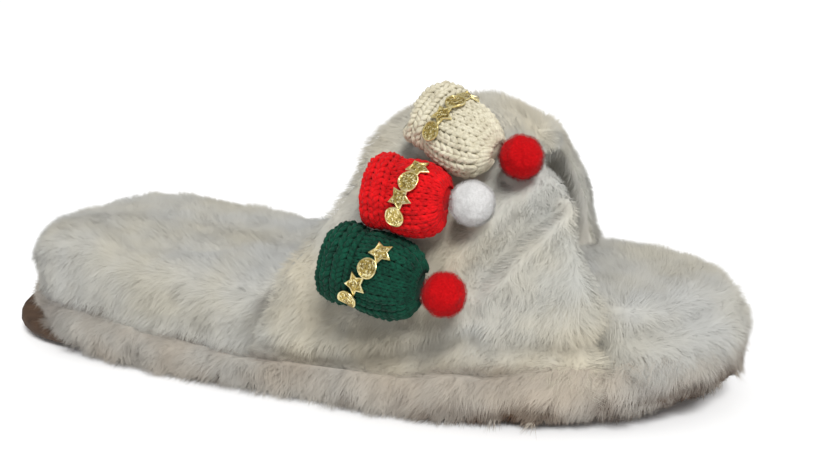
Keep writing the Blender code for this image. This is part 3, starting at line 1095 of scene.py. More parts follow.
@dataclass
class Footbed(FurPiece):
    """Fur pillow that the foot rests on."""

    hairs: int = 81000
    heel_middle: float = -0.095
    toe_middle: float = 0.075
    notch_reach: float = 0.014
    notch_near: float = 0.005
    notch_fill: float = 0.0080
    notch_share: float = 0.75
    notch_gap: float = 0.0010
    notch_ends: Pair = (0.002, 0.080)
    arch_side: Pair = (0.032, 0.022)
    arch_top: Pair = (0.75, 0.97)
    fore_at: Pair = (0.0, 0.08)
    tip_at: Pair = (0.085, 0.125)
    heel_nap: Point = (-1.0, 0.1, 0.0)
    fore_nap: Point = (-0.9, 0.35, 0.0)
    tip_nap: Point = (0.15, 0.95, 0.0)
    side_at: Pair = (0.1, 0.8)
    side_fall: Point = (-0.25, 0.0, -0.7)
    fore_lean: Point = (0.60, 0.0, 0.0)
    side_out: float = 0.75
    top_out: float = 0.25
    trodden_from: Pair = (0.004, 0.016)
    trodden_to: Pair = (0.090, 0.080)
    trodden: float = 0.75

    def skin(self) -> Object:
        """Backing of the fur, swelling against the band's rims so that no hole shows beside them.

        Returns:
            The skin's object.
        """
        made = super().skin()
        points, normals = read_points(made.data), read_normals(made.data)
        band = tree_of(["upper"])
        gap = np.full(len(points), self.notch_reach)
        heading = np.zeros_like(points)
        rear, front = self.notch_ends
        for k in np.flatnonzero((points[:, 0] < rear) | (points[:, 0] > front)):
            place, _, _, reach = band.find_nearest(Vector(points[k]), self.notch_reach)
            if place is not None:
                gap[k] = reach
                heading[k] = np.array(place) - points[k]
        move = np.clip(self.notch_share * (gap - self.notch_gap), 0, self.notch_fill)
        move = move * soft_step(self.notch_reach, self.notch_near, gap)
        arch = soft_step(*self.arch_side, np.abs(points[:, 1]))
        move *= 1 - arch * soft_step(*self.arch_top, normals[:, 2])
        write_points(made.data, points + unit(heading) * move[:, None])
        return made

    def comb(self, points: Array, normals: Array) -> Array:
        """Brushed out from the middle, along the foot on top and down at the sides.

        Args:
            points: Places on the skin.
            normals: The skin's normals there.

        Returns:
            One direction a place, of any length.
        """
        middle = np.clip(points[:, 0], self.heel_middle, self.toe_middle)
        out = unit(np.stack([points[:, 0] - middle, points[:, 1], np.zeros(len(points))], axis=1))
        fore = soft_step(*self.fore_at, points[:, 0])[:, None]
        tip = soft_step(*self.tip_at, points[:, 0])[:, None]
        nap = np.array(self.fore_nap) * (1 - tip) + np.array(self.tip_nap) * tip
        run = np.array(self.heel_nap) * (1 - fore) + nap * fore + out * self.top_out * (1 - fore)
        side = soft_step(*self.side_at, 1 - normals[:, 2])[:, None]
        fall = out * self.side_out + np.array(self.side_fall) + np.array(self.fore_lean) * fore
        return run * (1 - side) + fall * side

    def build(self) -> None:
        """Make the skin and two coats, heel and toe."""
        made = self.skin()
        middles, normals = self.faces(made)
        bare = open_along(self.neighbours(), middles, normals, self.cover)
        runs = middles[:, 0]
        under = soft_step(*self.trodden_from, runs) * soft_step(*self.trodden_to, runs)
        weights = bare * (1 - self.trodden * under)
        look = self.finish.material()
        for k, (half, inside) in enumerate({"heel": runs < 0.0, "toe": runs >= 0.0}.items()):
            coat = self.coat(f"footbed_fur_{half}", made, self.seed + 10 * k)
            self.grow(coat, self.hairs, weights * inside, look)
        self.complete(made, look)


@dataclass
class Wrap(FurPiece):
    """Fur strip round the sole's edge."""

    hairs: int = 92000
    heel_at: Pair = (-0.085, -0.112)
    heel_tuck: float = 0.0034
    heel_raise: float = 0.0016
    outer_edge: Pair = (0.0, 0.4)
    outer_reach: float = 0.04
    low_at: Pair = (0.019, 0.010)
    swept_at: Pair = (-0.05, -0.12)
    swept_down: float = 0.45
    swept_back: Pair = (0.25, 0.65)
    fore_at: Pair = (0.07, 0.11)
    fore_down: float = 0.4
    outwards: Pair = (0.35, 0.45)
    hem_at: Pair = (0.055, 0.090)
    hem_under: Pair = (0.3, -0.3)
    hem_cut: Pair = (0.50, 0.22)
    hem_wave: float = 0.020
    hem_most: float = 0.8
    heel_cut: float = 0.2
    heel_hem_cut: float = 0.55
    # Painted shade under the hem, where it faces down.
    hem_shade_under: Pair = (0.30, -0.45)
    hem_shade_at: Pair = (0.02, 0.08)
    hem_shade: Pair = (0.40, 0.75)
    hem_shade_uneven: Pair = (0.80, 0.40)
    hem_shade_wave: float = 0.024

    def skin(self) -> Object:
        """Backing of the fur, tucked in and raised at the heel, where the sole shows under it.

        Returns:
            The skin's object.
        """
        made = super().skin()
        points, normals = read_points(made.data), read_normals(made.data)
        outwards = np.sum(normals[:, :2] * points[:, :2], axis=1) / self.outer_reach
        outer = soft_step(*self.outer_edge, outwards)
        low = soft_step(*self.low_at, points[:, 2])
        share = (soft_step(*self.heel_at, points[:, 0]) * low * outer)[:, None]
        tuck = unit(normals * LEVEL) * self.heel_tuck
        write_points(made.data, points + share * (np.array([0, 0, self.heel_raise]) - tuck))
        return made

    def comb(self, points: Array, normals: Array) -> Array:
        """Brushed down and outwards, swept back at the heel.

        Args:
            points: Places on the skin.
            normals: The skin's normals there.

        Returns:
            One direction a place, of any length.
        """
        heel = soft_step(*self.swept_at, points[:, 0])[:, None]
        fore = soft_step(*self.fore_at, points[:, 0])[:, None]
        back, more_back = self.swept_back
        out, more_out = self.outwards
        down = np.array([0.0, 0.0, -1.0]) * (1 - self.swept_down * heel)
        lean = np.array([-1.0, 0.0, 0.0]) * (back + more_back * heel)
        aside = normals * LEVEL * (out + more_out * fore)
        return down * (1 - self.fore_down * fore) + lean * (1 - fore) + aside

    def length(self, points: Array, normals: Array) -> Array:
        """Shorter at the heel, where the sole shows, and uneven along the toe's hem.

        Args:
            points: Places on the skin.
            normals: The skin's normals there.

        Returns:
            Share of the pile's length at each place.
        """
        heel = soft_step(*self.heel_at, points[:, 0])
        under = soft_step(*self.hem_under, normals[:, 2])
        cut, uneven = self.hem_cut
        hem = soft_step(*self.hem_at, points[:, 0]) * under
        hem = np.clip(hem * (cut + uneven * wander(points, self.hem_wave, self.seed + 7)), 0, self.hem_most)
        kept = 1 - self.heel_cut * heel - self.heel_hem_cut * heel * under - hem
        return super().length(points, normals) * kept

    def shade_and_dirt(self, points: Array, normals: Array) -> Array:
        """Painted shade along the hem's underside too, most of all under the toe.

        Args:
            points: Places on the skin.
            normals: The skin's normals there.

        Returns:
            One share a place, from 0 to 1.
        """
        least, more = self.hem_shade
        # Brown painted as shade where the hem faces down.
        hem = soft_step(*self.hem_shade_under, normals[:, 2])
        hem = hem * (least + more * soft_step(*self.hem_shade_at, points[:, 0]))
        even, uneven = self.hem_shade_uneven
        patchy = even + uneven * wander(points, self.hem_shade_wave, self.seed + 5)
        return np.maximum(super().shade_and_dirt(points, normals), np.clip(hem * patchy, 0, 1))

    def build(self) -> None:
        """Make the skin and its coat."""
        made = self.skin()
        weights = open_along(self.neighbours(), *self.faces(made), self.cover) * 1.0
        look = self.finish.material()
        self.grow(self.coat("wrap_fur", made, self.seed), self.hairs, weights, look)
        self.complete(made, look)


@dataclass
class Band(FurPiece):
    """Padded band over the instep, furred outside and lined inside."""

    hairs: int = 93000
    lining: int = 29000
    axis_height: float = BAND_AXIS
    calm_rounds: int = 14
    horn: float = 0.0031
    horn_foot: float = 0.010
    crest_top: Pair = (0.5, 0.95)
    crest_shift: float = 0.010
    crest_half: float = 0.030
    crest_back: Pair = (0.5, 0.8)
    flank_down: Point = (-0.45, 0.0, -1.0)
    rear_rim: Pair = (-0.35, -0.8)
    rear_down: float = 0.5
    rear_out: Point = (1, 0.3, 0.3)
    front_rim: Pair = (0.3, 0.8)
    front_cut: float = 0.5
    corner_rim: Pair = (0.2, 0.7)
    corner_height: Pair = (0.052, 0.034)
    corner_out: Pair = (-0.45, 0.0)
    corner_ahead: float = 1.2
    corner_long: float = 0.9
    rim_shade: Pair = (0.25, 0.80)
    rim_out: float = 1.4
    rim_outer: float = 0.03
    hat_press: float = 0.006
    hat_reach: float = 0.020
    hat_gap: Pair = (0.001, 0.018)
    hat_short: float = 0.50
    front_mouth: Pair = (0.030, 0.065)
    rear_mouth: Pair = (0.030, 0.005)
    deep_lining: float = 0.25
    mouth_lining: float = 0.75

    def skin(self) -> Object:
        """Backing of the fur, with the horn that a thin rim can leave worn down.

        Returns:
            The skin's object.
        """
        made = super().skin()
        points = read_points(made.data)
        calm = relaxed(made.data, self.calm_rounds)
        horns = points[np.linalg.norm(calm - points, axis=1) > self.horn]
        if len(horns):
            near = np.min(np.linalg.norm(points[:, None] - horns, axis=2), axis=1)
            share = soft_step(self.horn_foot, self.horn_foot / 2, near)[:, None]
            write_points(made.data, points + (calm - points) * share)
        return made

    def comb(self, points: Array, normals: Array) -> Array:
        """Brushed down from the crest and back, outwards at the rear rim and ahead at the front's lower ends.

        Args:
            points: Places on the skin.
            normals: The skin's normals there.

        Returns:
            One direction a place, of any length.
        """
        crest = soft_step(*self.crest_top, normals[:, 2])[:, None]
        aside = np.clip((points[:, 1] + self.crest_shift) / self.crest_half, -1, 1)
        less_back, back = self.crest_back
        over = np.stack([aside**2 * less_back - back, aside, np.zeros(len(points))], axis=1)
        down = np.array(self.flank_down) * (1 - crest) + over * crest
        rear = soft_step(*self.rear_rim, normals[:, 0])[:, None]
        ahead = np.array([self.corner_ahead, 0.0, 0.0]) * self.corner(points, normals)[:, None]
        return down * (1 - self.rear_down * rear) + normals * np.array(self.rear_out) * rear + ahead

    def corner(self, points: Array, normals: Array) -> Array:
        """How far places lie on the front rim's lower ends, beside the toe.

        Args:
            points: Places on the skin.
            normals: The skin's normals there.

        Returns:
            1 on those ends and 0 elsewhere.
        """
        outward = soft_step(*self.corner_out, normals[:, 1] * np.sign(points[:, 1]))
        low = soft_step(*self.corner_height, points[:, 2])
        return soft_step(*self.corner_rim, normals[:, 0]) * low * outward

    def length(self, points: Array, normals: Array) -> Array:
        """Shorter on the front rim, but long at its lower ends.

        Args:
            points: Places on the skin.
            normals: The skin's normals there.

        Returns:
            Share of the pile's length at each place.
        """
        front = soft_step(*self.front_rim, normals[:, 0])
        kept = 1 - self.front_cut * front + self.corner_long * self.corner(points, normals)
        return super().length(points, normals) * kept

    def facing(self, points: Array, normals: Array) -> Array:
        """Hair at the rims shades as the band beside it, not as the rim's edge.

        Args:
            points: Places on the skin.
            normals: The skin's normals there.

        Returns:
            One shading normal a place.
        """
        out = unit(self.core(points))
        rim = soft_step(*self.rim_shade, np.abs(normals[:, 0]))[:, None]
        return super().facing(points, unit(normals + out * rim * self.rim_out))

    def core(self, points: Array) -> Array:
        """Ways to places from the band's long axis."""
        return points * CROSSWISE - np.array([0, 0, self.axis_height])

    def within(self, middles: Array, normals: Array) -> Array:
        """True for each face of the skin that looks in under the band."""
        outwards = np.sum(self.core(middles) * normals, axis=1)
        return outwards + self.rim_outer * np.abs(normals[:, 0]) <= 0

    def build(self, hats: BVHTree) -> None:
        """Make the skin, the outer coat and the lining.

        Args:
            hats: The caps and pompoms, which press the fur.
        """
        made = self.skin()
        middles, normals = self.faces(made)
        bare = open_along(self.neighbours(), middles, normals, self.cover)
        bare &= open_along(hats, middles, normals, self.hat_press)
        inside = self.within(middles, normals)
        look = self.finish.material()

        def near_hats(points: Array, normals: Array) -> Array:
            """Shorter where a cap presses the fur."""
            free = soft_step(*self.hat_gap, distances(hats, points, self.hat_reach))
            return self.length(points, normals) * (self.hat_short + (1 - self.hat_short) * free)

        coat = replace(self.coat("band_fur", made, self.seed), length=near_hats, clear_of=hats)
        front = soft_step(*self.front_rim, normals[:, 0])
        self.grow(coat, self.hairs, bare * ~inside * (1 + front), look)
        lining = Fur.LINING.value.material()
        coat = Coat("band_lining", made.data, self.pile, self.comb, self.seed + 10)
        mouth = np.maximum(*(soft_step(*span, middles[:, 0]) for span in (self.front_mouth, self.rear_mouth)))
        weights = bare * inside * (self.deep_lining + self.mouth_lining * mouth)
        self.grow(coat, self.lining, weights, lining)
        made.data.materials.append(look)
        made.data.materials.append(lining)
        centres = np.array([face.center for face in made.data.polygons])
        headings = np.array([face.normal for face in made.data.polygons])
        made.data.polygons.foreach_set("material_index", self.within(centres, headings).astype(np.int32))
        self.complete(made, look)


@dataclass
class Outsole:
    """Moulded sole with a studded tread."""

    node: str = "outsole"
    slot: str = "sole"
    edge: float = 0.0004
    sharp: float = 40.0
    tread: float = 0.0009
    downward: float = -0.5
    stud_radius: float = 0.0024
    stud_pitch: float = 0.0085
    stud_sides: int = 10
    stud_root: float = 0.0003
    stud_taper: float = 0.8
    margin: float = 0.006
    margin_tests: int = 6
    probe_from: float = -0.01
    flat: float = -0.9

    def build(self) -> None:
        """Make the sole and its studs as one piece."""
        made = solid_copy(self.node, "outsole_tread")
        points, normals = read_points(made.data), read_normals(made.data)
        points[normals[:, 2] < self.downward, 2] += self.tread
        write_points(made.data, points)
        bevel(made, self.edge, self.sharp)
        join_to(made, [self.studs(tree_of_meshes([made.data]))])
        bpy.ops.object.shade_smooth_by_angle(angle=math.radians(self.sharp))
        dress(made, SOLE.material(), self.slot, self.node)

    def places(self, tree: BVHTree) -> Array:
        """Where studs fit, in staggered rows under the sole.

        Args:
            tree: The sole.

        Returns:
            One place a row.
        """
        low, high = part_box(self.node)
        turns = np.linspace(0, FULL_TURN, self.margin_tests, endpoint=False)
        found = []
        for row, x in enumerate(np.arange(low.x, high.x, self.stud_pitch)):
            for y in np.arange(low.y, high.y, self.stud_pitch) + (row % 2) * self.stud_pitch / 2:
                hit = self.under(tree, x, y)
                ring = [self.under(tree, x + self.margin * math.cos(a), y + self.margin * math.sin(a))
                        for a in turns]
                if hit is not None and all(place is not None for place in ring):
                    found.append(hit)
        return np.array(found)

    def studs(self, tree: BVHTree) -> Object:
        """Round studs under the sole.

        Args:
            tree: The sole.

        Returns:
            The studs as one object.
        """
        places = self.places(tree)
        sides = self.stud_sides
        angles = np.linspace(0, FULL_TURN, sides, endpoint=False)
        circle = np.stack([np.cos(angles), np.sin(angles), np.zeros(sides)], axis=1) * self.stud_radius
        root = circle + np.array([0, 0, self.stud_root])
        foot = circle * self.stud_taper - np.array([0, 0, self.tread])
        shape = np.concatenate([root, foot, [[0, 0, -self.tread]]])
        points = places[:, None] + shape[None]
        points[:, :, 2] = np.maximum(points[:, :, 2], 0.0)
        ring = np.arange(sides)
        after = (ring + 1) % sides
        quads = np.stack([ring, ring + sides, after + sides, after], axis=1)
        caps = np.stack([ring + sides, np.full_like(ring, 2 * sides), after + sides], axis=1)
        first = (np.arange(len(places)) * len(shape))[:, None, None]
        faces = (first + quads).reshape(-1, 4), (first + caps).reshape(-1, 3)
        return mesh_piece("studs", points.reshape(-1, 3), *faces)

    def under(self, tree: BVHTree, x: float, y: float) -> Array | None:
        """Place on the sole's underside, or None beside it or where it curls up."""
        place, normal, _, _ = tree.ray_cast(Vector((x, y, self.probe_from)), Vector((0, 0, 1)))
        return np.array(place) if place is not None and normal.z < self.flat else None


class Motif(Enum):
    """Shapes in the glittering trim: number of corners, radius, and share of it at every second corner."""

    STAR = (10, 0.0038, 0.54)
    DISC = (24, 0.0030, 1.0)


@dataclass
class KnitCap:
    """Small knitted cap with a rolled brim, its pompom and its glittering trim."""

    key: str
    yarn: YarnFinish
    felt: FeltFinish
    felt_slot: str
    seed: int
    voxel: float = 0.0009
    smoothing: int = 6
    inset: float = 0.0007
    wool_fibres: int = 2400
    wales: int = 22
    row_pitch: float = 0.0021
    brim_share: float = 0.36
    brim_rings: int = 3
    brim_start: float = 0.35
    brim_loops: int = 26
    mouth: float = 0.0035
    mouth_depth: float = 0.0022
    mouth_edge: Pair = (0.80, 0.30)
    probe: float = 0.03
    probe_edge: float = 0.0005
    hidden: float = -0.45
    yarn_share: float = 0.30
    yarn_uneven: Pair = (0.92, 1.08)
    thickest: float = 0.0008
    thinnest: float = 0.0004
    leg_start: float = 0.15
    leg_length: float = 1.45
    leg_lean: Pair = (0.06, 0.40)
    leg_curl: float = 0.8
    leg_stray: float = 0.03
    leg_rise: tuple[float, ...] = (0.05, 0.50, 0.75, 0.75, 0.50, 0.05)
    leg_swell: tuple[float, ...] = (0.60, 0.92, 1.05, 1.05, 0.92, 0.60)
    leg_sides: int = 6
    leg_end: float = 0.5
    felt_share: float = 0.96
    felt_lumps: tuple[Pair, ...] = ((0.00016, 0.0035), (0.00008, 0.0014))
    felt_fibres: int = 4000
    motif_pitch: float = 0.0060
    plate: float = 0.0006
    plate_rim: float = 0.00040
    plate_sink: float = 0.00024
    plate_field: float = 0.00090
    plate_edge: float = 0.00012
    plate_sharp: float = 50.0
    plate_drop: float = 0.008
    trim_steps: int = 40
    trim_sharp: float = 35.0
    trim_turn: float = 0.15
    trim_lift: float = 0.0016
    disc_lift: float = 0.0003

    def build(self) -> None:
        """Make cap, fuzz, pompom and trim."""
        self.body = self.form()
        self.find_axes()
        self.open_mouth()
        self.tree = tree_of_meshes([self.body.data])
        wool = self.yarn.material()
        slot = f"{self.key}_yarn"
        fuzz = self.fuzz(f"hat_{self.key}_fuzz", self.body, WOOL_FUZZ, self.wool_fibres, self.seed)
        dress(fuzz, wool, slot)
        self.knit()
        dress(self.body, wool, slot, f"hat_{self.key}")
        self.pompom()
        self.trim()

    def comb(self, points: Array, normals: Array) -> Array:
        """Fibres lie along the cap."""
        return np.tile(self.axis, (len(points), 1))

    def fuzz(self, name: str, made: Object, pile: Pile, count: int, seed: int) -> Object:
        """Halo of fibres all over a piece."""
        coat = Coat(name, made.data, pile, self.comb, seed)
        return coat.grow(count, np.ones(len(read_triangles(made.data))))

    def form(self) -> Object:
        """Soft body under the stitches.

        Returns:
            The body's object.
        """
        made = solid_copy(f"hat_{self.key}", f"hat_{self.key}_knit")
        soften(made, self.voxel, self.smoothing)
        write_points(made.data, read_points(made.data) - read_normals(made.data) * self.inset)
        return made

    def find_axes(self) -> None:
        """Find the cap's middle, its way from brim to crown, across, and away from the band."""
        points = read_points(self.body.data)
        self.middle = points.mean(axis=0)
        away = np.linalg.eigh(np.cov((points - self.middle).T))[1][:, 0]
        out = self.middle - np.array([self.middle[0], 0, BAND_AXIS])
        self.away = away * np.sign(away @ out)
        low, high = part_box(f"pompom_{self.key}_hat")
        to_crown = np.array((low + high) / 2) - self.middle
        self.axis = unit(to_crown - self.away * (to_crown @ self.away))
        self.across = np.cross(self.away, self.axis)
        runs = (points - self.middle) @ self.axis
        self.brim, self.crown = runs.min(), runs.max()

    def open_mouth(self) -> None:
        """Press the cap's open end in, inside its rolled brim."""
        points = read_points(self.body.data)
        places = points - self.middle
        end = places @ self.axis < self.brim + self.mouth_depth
        ways = [places @ way for way in (self.across, self.away)]
        reach = np.hypot(*((way - np.mean(way[end])) / np.ptp(way[end]) for way in ways)) * 2
        dent = self.mouth * soft_step(*self.mouth_edge, reach) * end
        write_points(self.body.data, points + self.axis * dent[:, None])

    def touch(self, run: float, angle: float) -> tuple[Array, Array]:
        """Place and normal on the cap.

        Args:
            run: Way along the axis from the middle.
            angle: Turn round the axis, with a quarter turn pointing away from the band.

        Returns:
            Place and normal.
        """
        run = min(max(run, self.brim + self.probe_edge), self.crown - self.probe_edge)
        origin = self.middle + self.axis * run
        heading = self.across * math.cos(angle) + self.away * math.sin(angle)
        place, normal, _, _ = self.tree.ray_cast(Vector(origin + heading * self.probe), Vector(-heading))
        if place is None:
            return origin, heading
        return np.array(place), np.array(normal)

    def knit(self) -> None:
        """Lay chains round the brim and wales up to the crown, and join them to the body."""
        length = self.crown - self.brim
        step = FULL_TURN / self.wales
        legs = []
        rng = np.random.default_rng(self.seed + 4)
        for run in np.arange(self.brim + self.brim_share * length, self.crown, self.row_pitch):
            for wale in range(self.wales):
                legs += self.stitch(run, (wale + 0.5) * step, (self.row_pitch, 0.0), (0.0, step), rng)
        loop = FULL_TURN / self.brim_loops
        gap = self.brim_share * length / self.brim_rings
        for ring in range(self.brim_rings):
            run = self.brim + (ring + self.brim_start) * gap
            for k in range(self.brim_loops):
                legs += self.stitch(run, (k + 0.5 * (ring % 2)) * loop, (0.0, loop), (gap, 0.0), rng)
        note(self.body, "ply", np.zeros(len(self.body.data.vertices)))
        join_to(self.body, [self.tubes(*(np.array(part) for part in zip(*legs)))])

    def stitch(self, run: float, angle: float, along: Pair, across: Pair,
               rng: np.random.Generator) -> list[Leg]:
        """Two leaning legs of yarn, or none where the band hides them.

        Args:
            run: Where the stitch starts, along the axis.
            angle: Where it starts, round the axis.
            along: Run and turn to the next stitch of its column.
            across: Run and turn to the next column.
            rng: How uneven the hand is.

        Returns:
            Places, normals and radii along each leg.
        """
        if math.sin(angle) < self.hidden:
            return []
        share = np.linspace(0, 1, len(self.leg_rise))
        ahead = (share - self.leg_start) * self.leg_length
        left, right = (self.touch(run + s * across[0], angle + s * across[1])[0] for s in (-0.5, 0.5))
        radius = np.clip(self.yarn_share * np.linalg.norm(left - right), self.thinnest, self.thickest)
        radius = radius * rng.uniform(*self.yarn_uneven)
        start, lean = self.leg_lean
        legs = []
        for hand in (-1, 1):
            stray = rng.uniform(-self.leg_stray, self.leg_stray)
            aside = hand * (start + lean * share**self.leg_curl) + stray
            path = [self.touch(run + a * along[0] + s * across[0], angle + a * along[1] + s * across[1])
                    for a, s in zip(ahead, aside)]
            places, normals = (np.array(part) for part in zip(*path))
            rise = radius * np.array(self.leg_rise)
            legs.append((places + normals * rise[:, None], normals, radius * np.array(self.leg_swell)))
        return legs

    def tubes(self, centres: Array, normals: Array, radii: Array) -> Object:
        """Short closed tubes of yarn.

        Args:
            centres: Places along each tube.
            normals: The cap's normals there.
            radii: The yarn's radius there.

        Returns:
            The tubes as one object.
        """
        count, rings = radii.shape
        sides = self.leg_sides
        heading = unit(np.gradient(centres, axis=1))
        side = unit(np.cross(heading, normals))
        rise = np.cross(side, heading)
        angles = np.linspace(-0.5 * math.pi, 1.5 * math.pi, sides, endpoint=False)
        wide = side[:, :, None] * np.cos(angles)[:, None]
        high = rise[:, :, None] * np.sin(angles)[:, None]
        points = centres[:, :, None] + (wide + high) * radii[:, :, None, None]
        both = [0, -1]
        reach = np.array([-self.leg_end, self.leg_end])[:, None]
        ends = centres[:, both] + heading[:, both] * reach * radii[:, both, None]
        points = np.concatenate([points.reshape(count, -1, 3), ends], axis=1)
        ring = np.arange(sides)
        after = (ring + 1) % sides
        quad = np.stack([ring, after, after + sides, ring + sides], axis=1)
        quads = np.concatenate([quad + sides * k for k in range(rings - 1)])
        last = sides * (rings - 1)
        caps = np.concatenate([
            np.stack([after, ring, np.full(sides, sides * rings)], axis=1),
            np.stack([ring + last, after + last, np.full(sides, sides * rings + 1)], axis=1),
        ])
        first = (np.arange(count) * points.shape[1])[:, None, None]
        faces = (first + quads).reshape(-1, 4), (first + caps).reshape(-1, 3)
        made = mesh_piece(f"strands_{self.key}", points.reshape(-1, 3), *faces)
        twist = (2 * angles[None] + np.linspace(0, 2 * FULL_TURN, rings)[:, None]).ravel()
        note(made, "ply", np.tile(np.concatenate([twist, [0.0, 0.0]]), count))
        return made

    def pompom(self) -> None:
        """Make the felt ball with its short halo of fibres."""
        low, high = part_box(f"pompom_{self.key}_hat")
        radius = (high - low).length / (2 * math.sqrt(3)) * self.felt_share
        bpy.ops.object.select_all(action="DESELECT")
        bpy.ops.mesh.primitive_ico_sphere_add(subdivisions=5, radius=radius, location=(low + high) / 2)
        made = bpy.context.object
        made.name = f"pompom_{self.key}"
        bpy.ops.object.transform_apply(location=True, rotation=True, scale=True)
        points, normals = read_points(made.data), read_normals(made.data)
        uneven = sum(height * wander(points, wave, self.seed + k)
                     for k, (height, wave) in enumerate(self.felt_lumps))
        write_points(made.data, points + normals * uneven[:, None])
        bpy.ops.object.shade_smooth()
        look = self.felt.material()
        fuzz = self.fuzz(f"pompom_{self.key}_fuzz", made, FELT_FUZZ, self.felt_fibres, self.seed + 2)
        dress(fuzz, look, self.felt_slot)
        dress(made, look, self.felt_slot, f"pompom_{self.key}_hat")

    def trim(self) -> None:
        """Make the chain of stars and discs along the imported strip, with raised rims."""
        strip = read_points(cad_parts[f"trim_{self.key}_hat"].data) - self.middle
        turns = np.arctan2(strip @ self.away, strip @ self.across)
        slope, start = np.polyfit(turns, strip @ self.axis, 1)
        turns = np.linspace(turns.min(), turns.max(), self.trim_steps)
        path = np.array([self.touch(start + slope * turn, turn)[0] for turn in turns])
        reach = np.concatenate([[0], np.cumsum(np.linalg.norm(np.diff(path, axis=0), axis=1))])
        count = math.ceil(reach[-1] / self.motif_pitch)
        plates = []
        for k in range(count):
            turn = np.interp((k + 0.5) / count * reach[-1], reach, turns)
            place, normal = self.touch(start + slope * turn, turn)
            back, ahead = (self.touch(start + slope * (turn + aside), turn + aside)[0]
                           for aside in (-self.trim_turn, self.trim_turn))
            plate = self.motif(Motif.DISC if k % 2 else Motif.STAR)
            lift = self.trim_lift + self.disc_lift * (k % 2)
            self.lay(plate, place, normal, flat_to(ahead - back, normal), lift)
            plates.append(plate)
        made = plates[0]
        join_to(made, plates[1:])
        made.name = f"trim_{self.key}"
        bpy.ops.object.shade_smooth_by_angle(angle=math.radians(self.trim_sharp))
        dress(made, GOLD.rim(), "gold", f"trim_{self.key}_hat")

    def motif(self, kind: Motif) -> Object:
        """Flat plate with a raised rim round a sunk field.

        Args:
            kind: Star or disc.

        Returns:
            The plate, flat at the origin.
        """
        corners, radius, waist = kind.value
        bpy.ops.object.select_all(action="DESELECT")
        bpy.ops.mesh.primitive_circle_add(vertices=corners, radius=radius, fill_type="NGON")
        made = bpy.context.object
        bpy.ops.object.mode_set(mode="EDIT")
        self.pick_second(made)
        bpy.ops.transform.resize(value=(waist, waist, 1.0))
        bpy.ops.mesh.select_all(action="SELECT")
        bpy.ops.mesh.extrude_region_move(TRANSFORM_OT_translate={"value": (0, 0, self.plate)})
        self.pick_top(made)
        bpy.ops.mesh.inset(thickness=self.plate_rim)
        bpy.ops.mesh.extrude_region_move(TRANSFORM_OT_translate={"value": (0, 0, -self.plate_sink)})
        made.data.materials.append(GOLD.rim())
        made.data.materials.append(GOLD.glitter())
        made.active_material_index = 1
        bpy.ops.object.material_slot_assign()
        bpy.ops.mesh.inset(thickness=self.plate_field)
        bpy.ops.mesh.poke()
        bpy.ops.mesh.select_all(action="SELECT")
        bpy.ops.mesh.normals_make_consistent(inside=False)
        bpy.ops.object.mode_set(mode="OBJECT")
        bevel(made, self.plate_edge, self.plate_sharp)
        return made

    def pick_second(self, made: Object) -> None:
        """Select every second vertex of an outline in edit mode.

        Args:
            made: The outline.
        """
        bpy.ops.mesh.select_all(action="DESELECT")
        edit = bmesh.from_edit_mesh(made.data)
        edit.verts.index_update()
        for vert in edit.verts:
            vert.select_set(vert.index % 2 == 1)
        edit.select_flush_mode()
        bmesh.update_edit_mesh(made.data)

    def pick_top(self, made: Object) -> None:
        """Select a plate's top face in edit mode.

        Args:
            made: The plate.
        """
        bpy.ops.mesh.select_all(action="DESELECT")
        edit = bmesh.from_edit_mesh(made.data)
        top = max(edit.faces, key=lambda face: face.calc_center_median().z)
        top.select_set(True)
        edit.select_flush_mode()
        bmesh.update_edit_mesh(made.data)

    def lay(self, plate: Object, place: Array, normal: Array, along: Array, lift: float) -> None:
        """Bend a plate over the cap.

        Args:
            plate: A flat plate at the origin.
            place: Where its middle lies on the cap's body.
            normal: The body's normal there.
            along: Which way the chain runs there.
            lift: How far its underside lies above the body.
        """
        side = np.cross(normal, along)
        above = normal * self.plate_drop
        points = read_points(plate.data)
        for k, (x, y, z) in enumerate(points):
            flat = place + along * x + side * y
            hit = self.tree.ray_cast(Vector(flat + above), Vector(-normal))[0]
            points[k] = (flat if hit is None else np.array(hit)) + normal * (lift + z)
        write_points(plate.data, points)


@dataclass(frozen=True)
class Shot:
    """Camera at the reference picture's angle."""

    eye: Point = (0.1506, -0.2674, 0.1182)
    azimuth: float = 24.16
    elevation: float = 14.11
    roll: float = -2.17
    focal_pixels: float = 877.3
    image_width: int = 822
    sensor: float = 36.0
    nearest: float = 0.01

    def build(self) -> None:
        """Make the camera and look through it."""
        azimuth, elevation, roll = (math.radians(a) for a in (self.azimuth, self.elevation, self.roll))
        level = math.cos(elevation)
        back = Vector((math.sin(azimuth) * level, -math.cos(azimuth) * level, math.sin(elevation)))
        right = Vector((math.cos(azimuth), math.sin(azimuth), 0))
        up = back.cross(right)
        wide = math.cos(roll) * right + math.sin(roll) * up
        high = math.cos(roll) * up - math.sin(roll) * right
        place = Matrix((wide, high, back)).transposed().to_4x4()
        place.translation = self.eye
        bpy.ops.object.camera_add()
        camera = bpy.context.object
        camera.matrix_world = place
        camera.data.sensor_width = self.sensor
        camera.data.lens = self.focal_pixels * self.sensor / self.image_width
        camera.data.clip_start = self.nearest
        camera.data.dof.use_dof = False
        bpy.context.scene.camera = camera


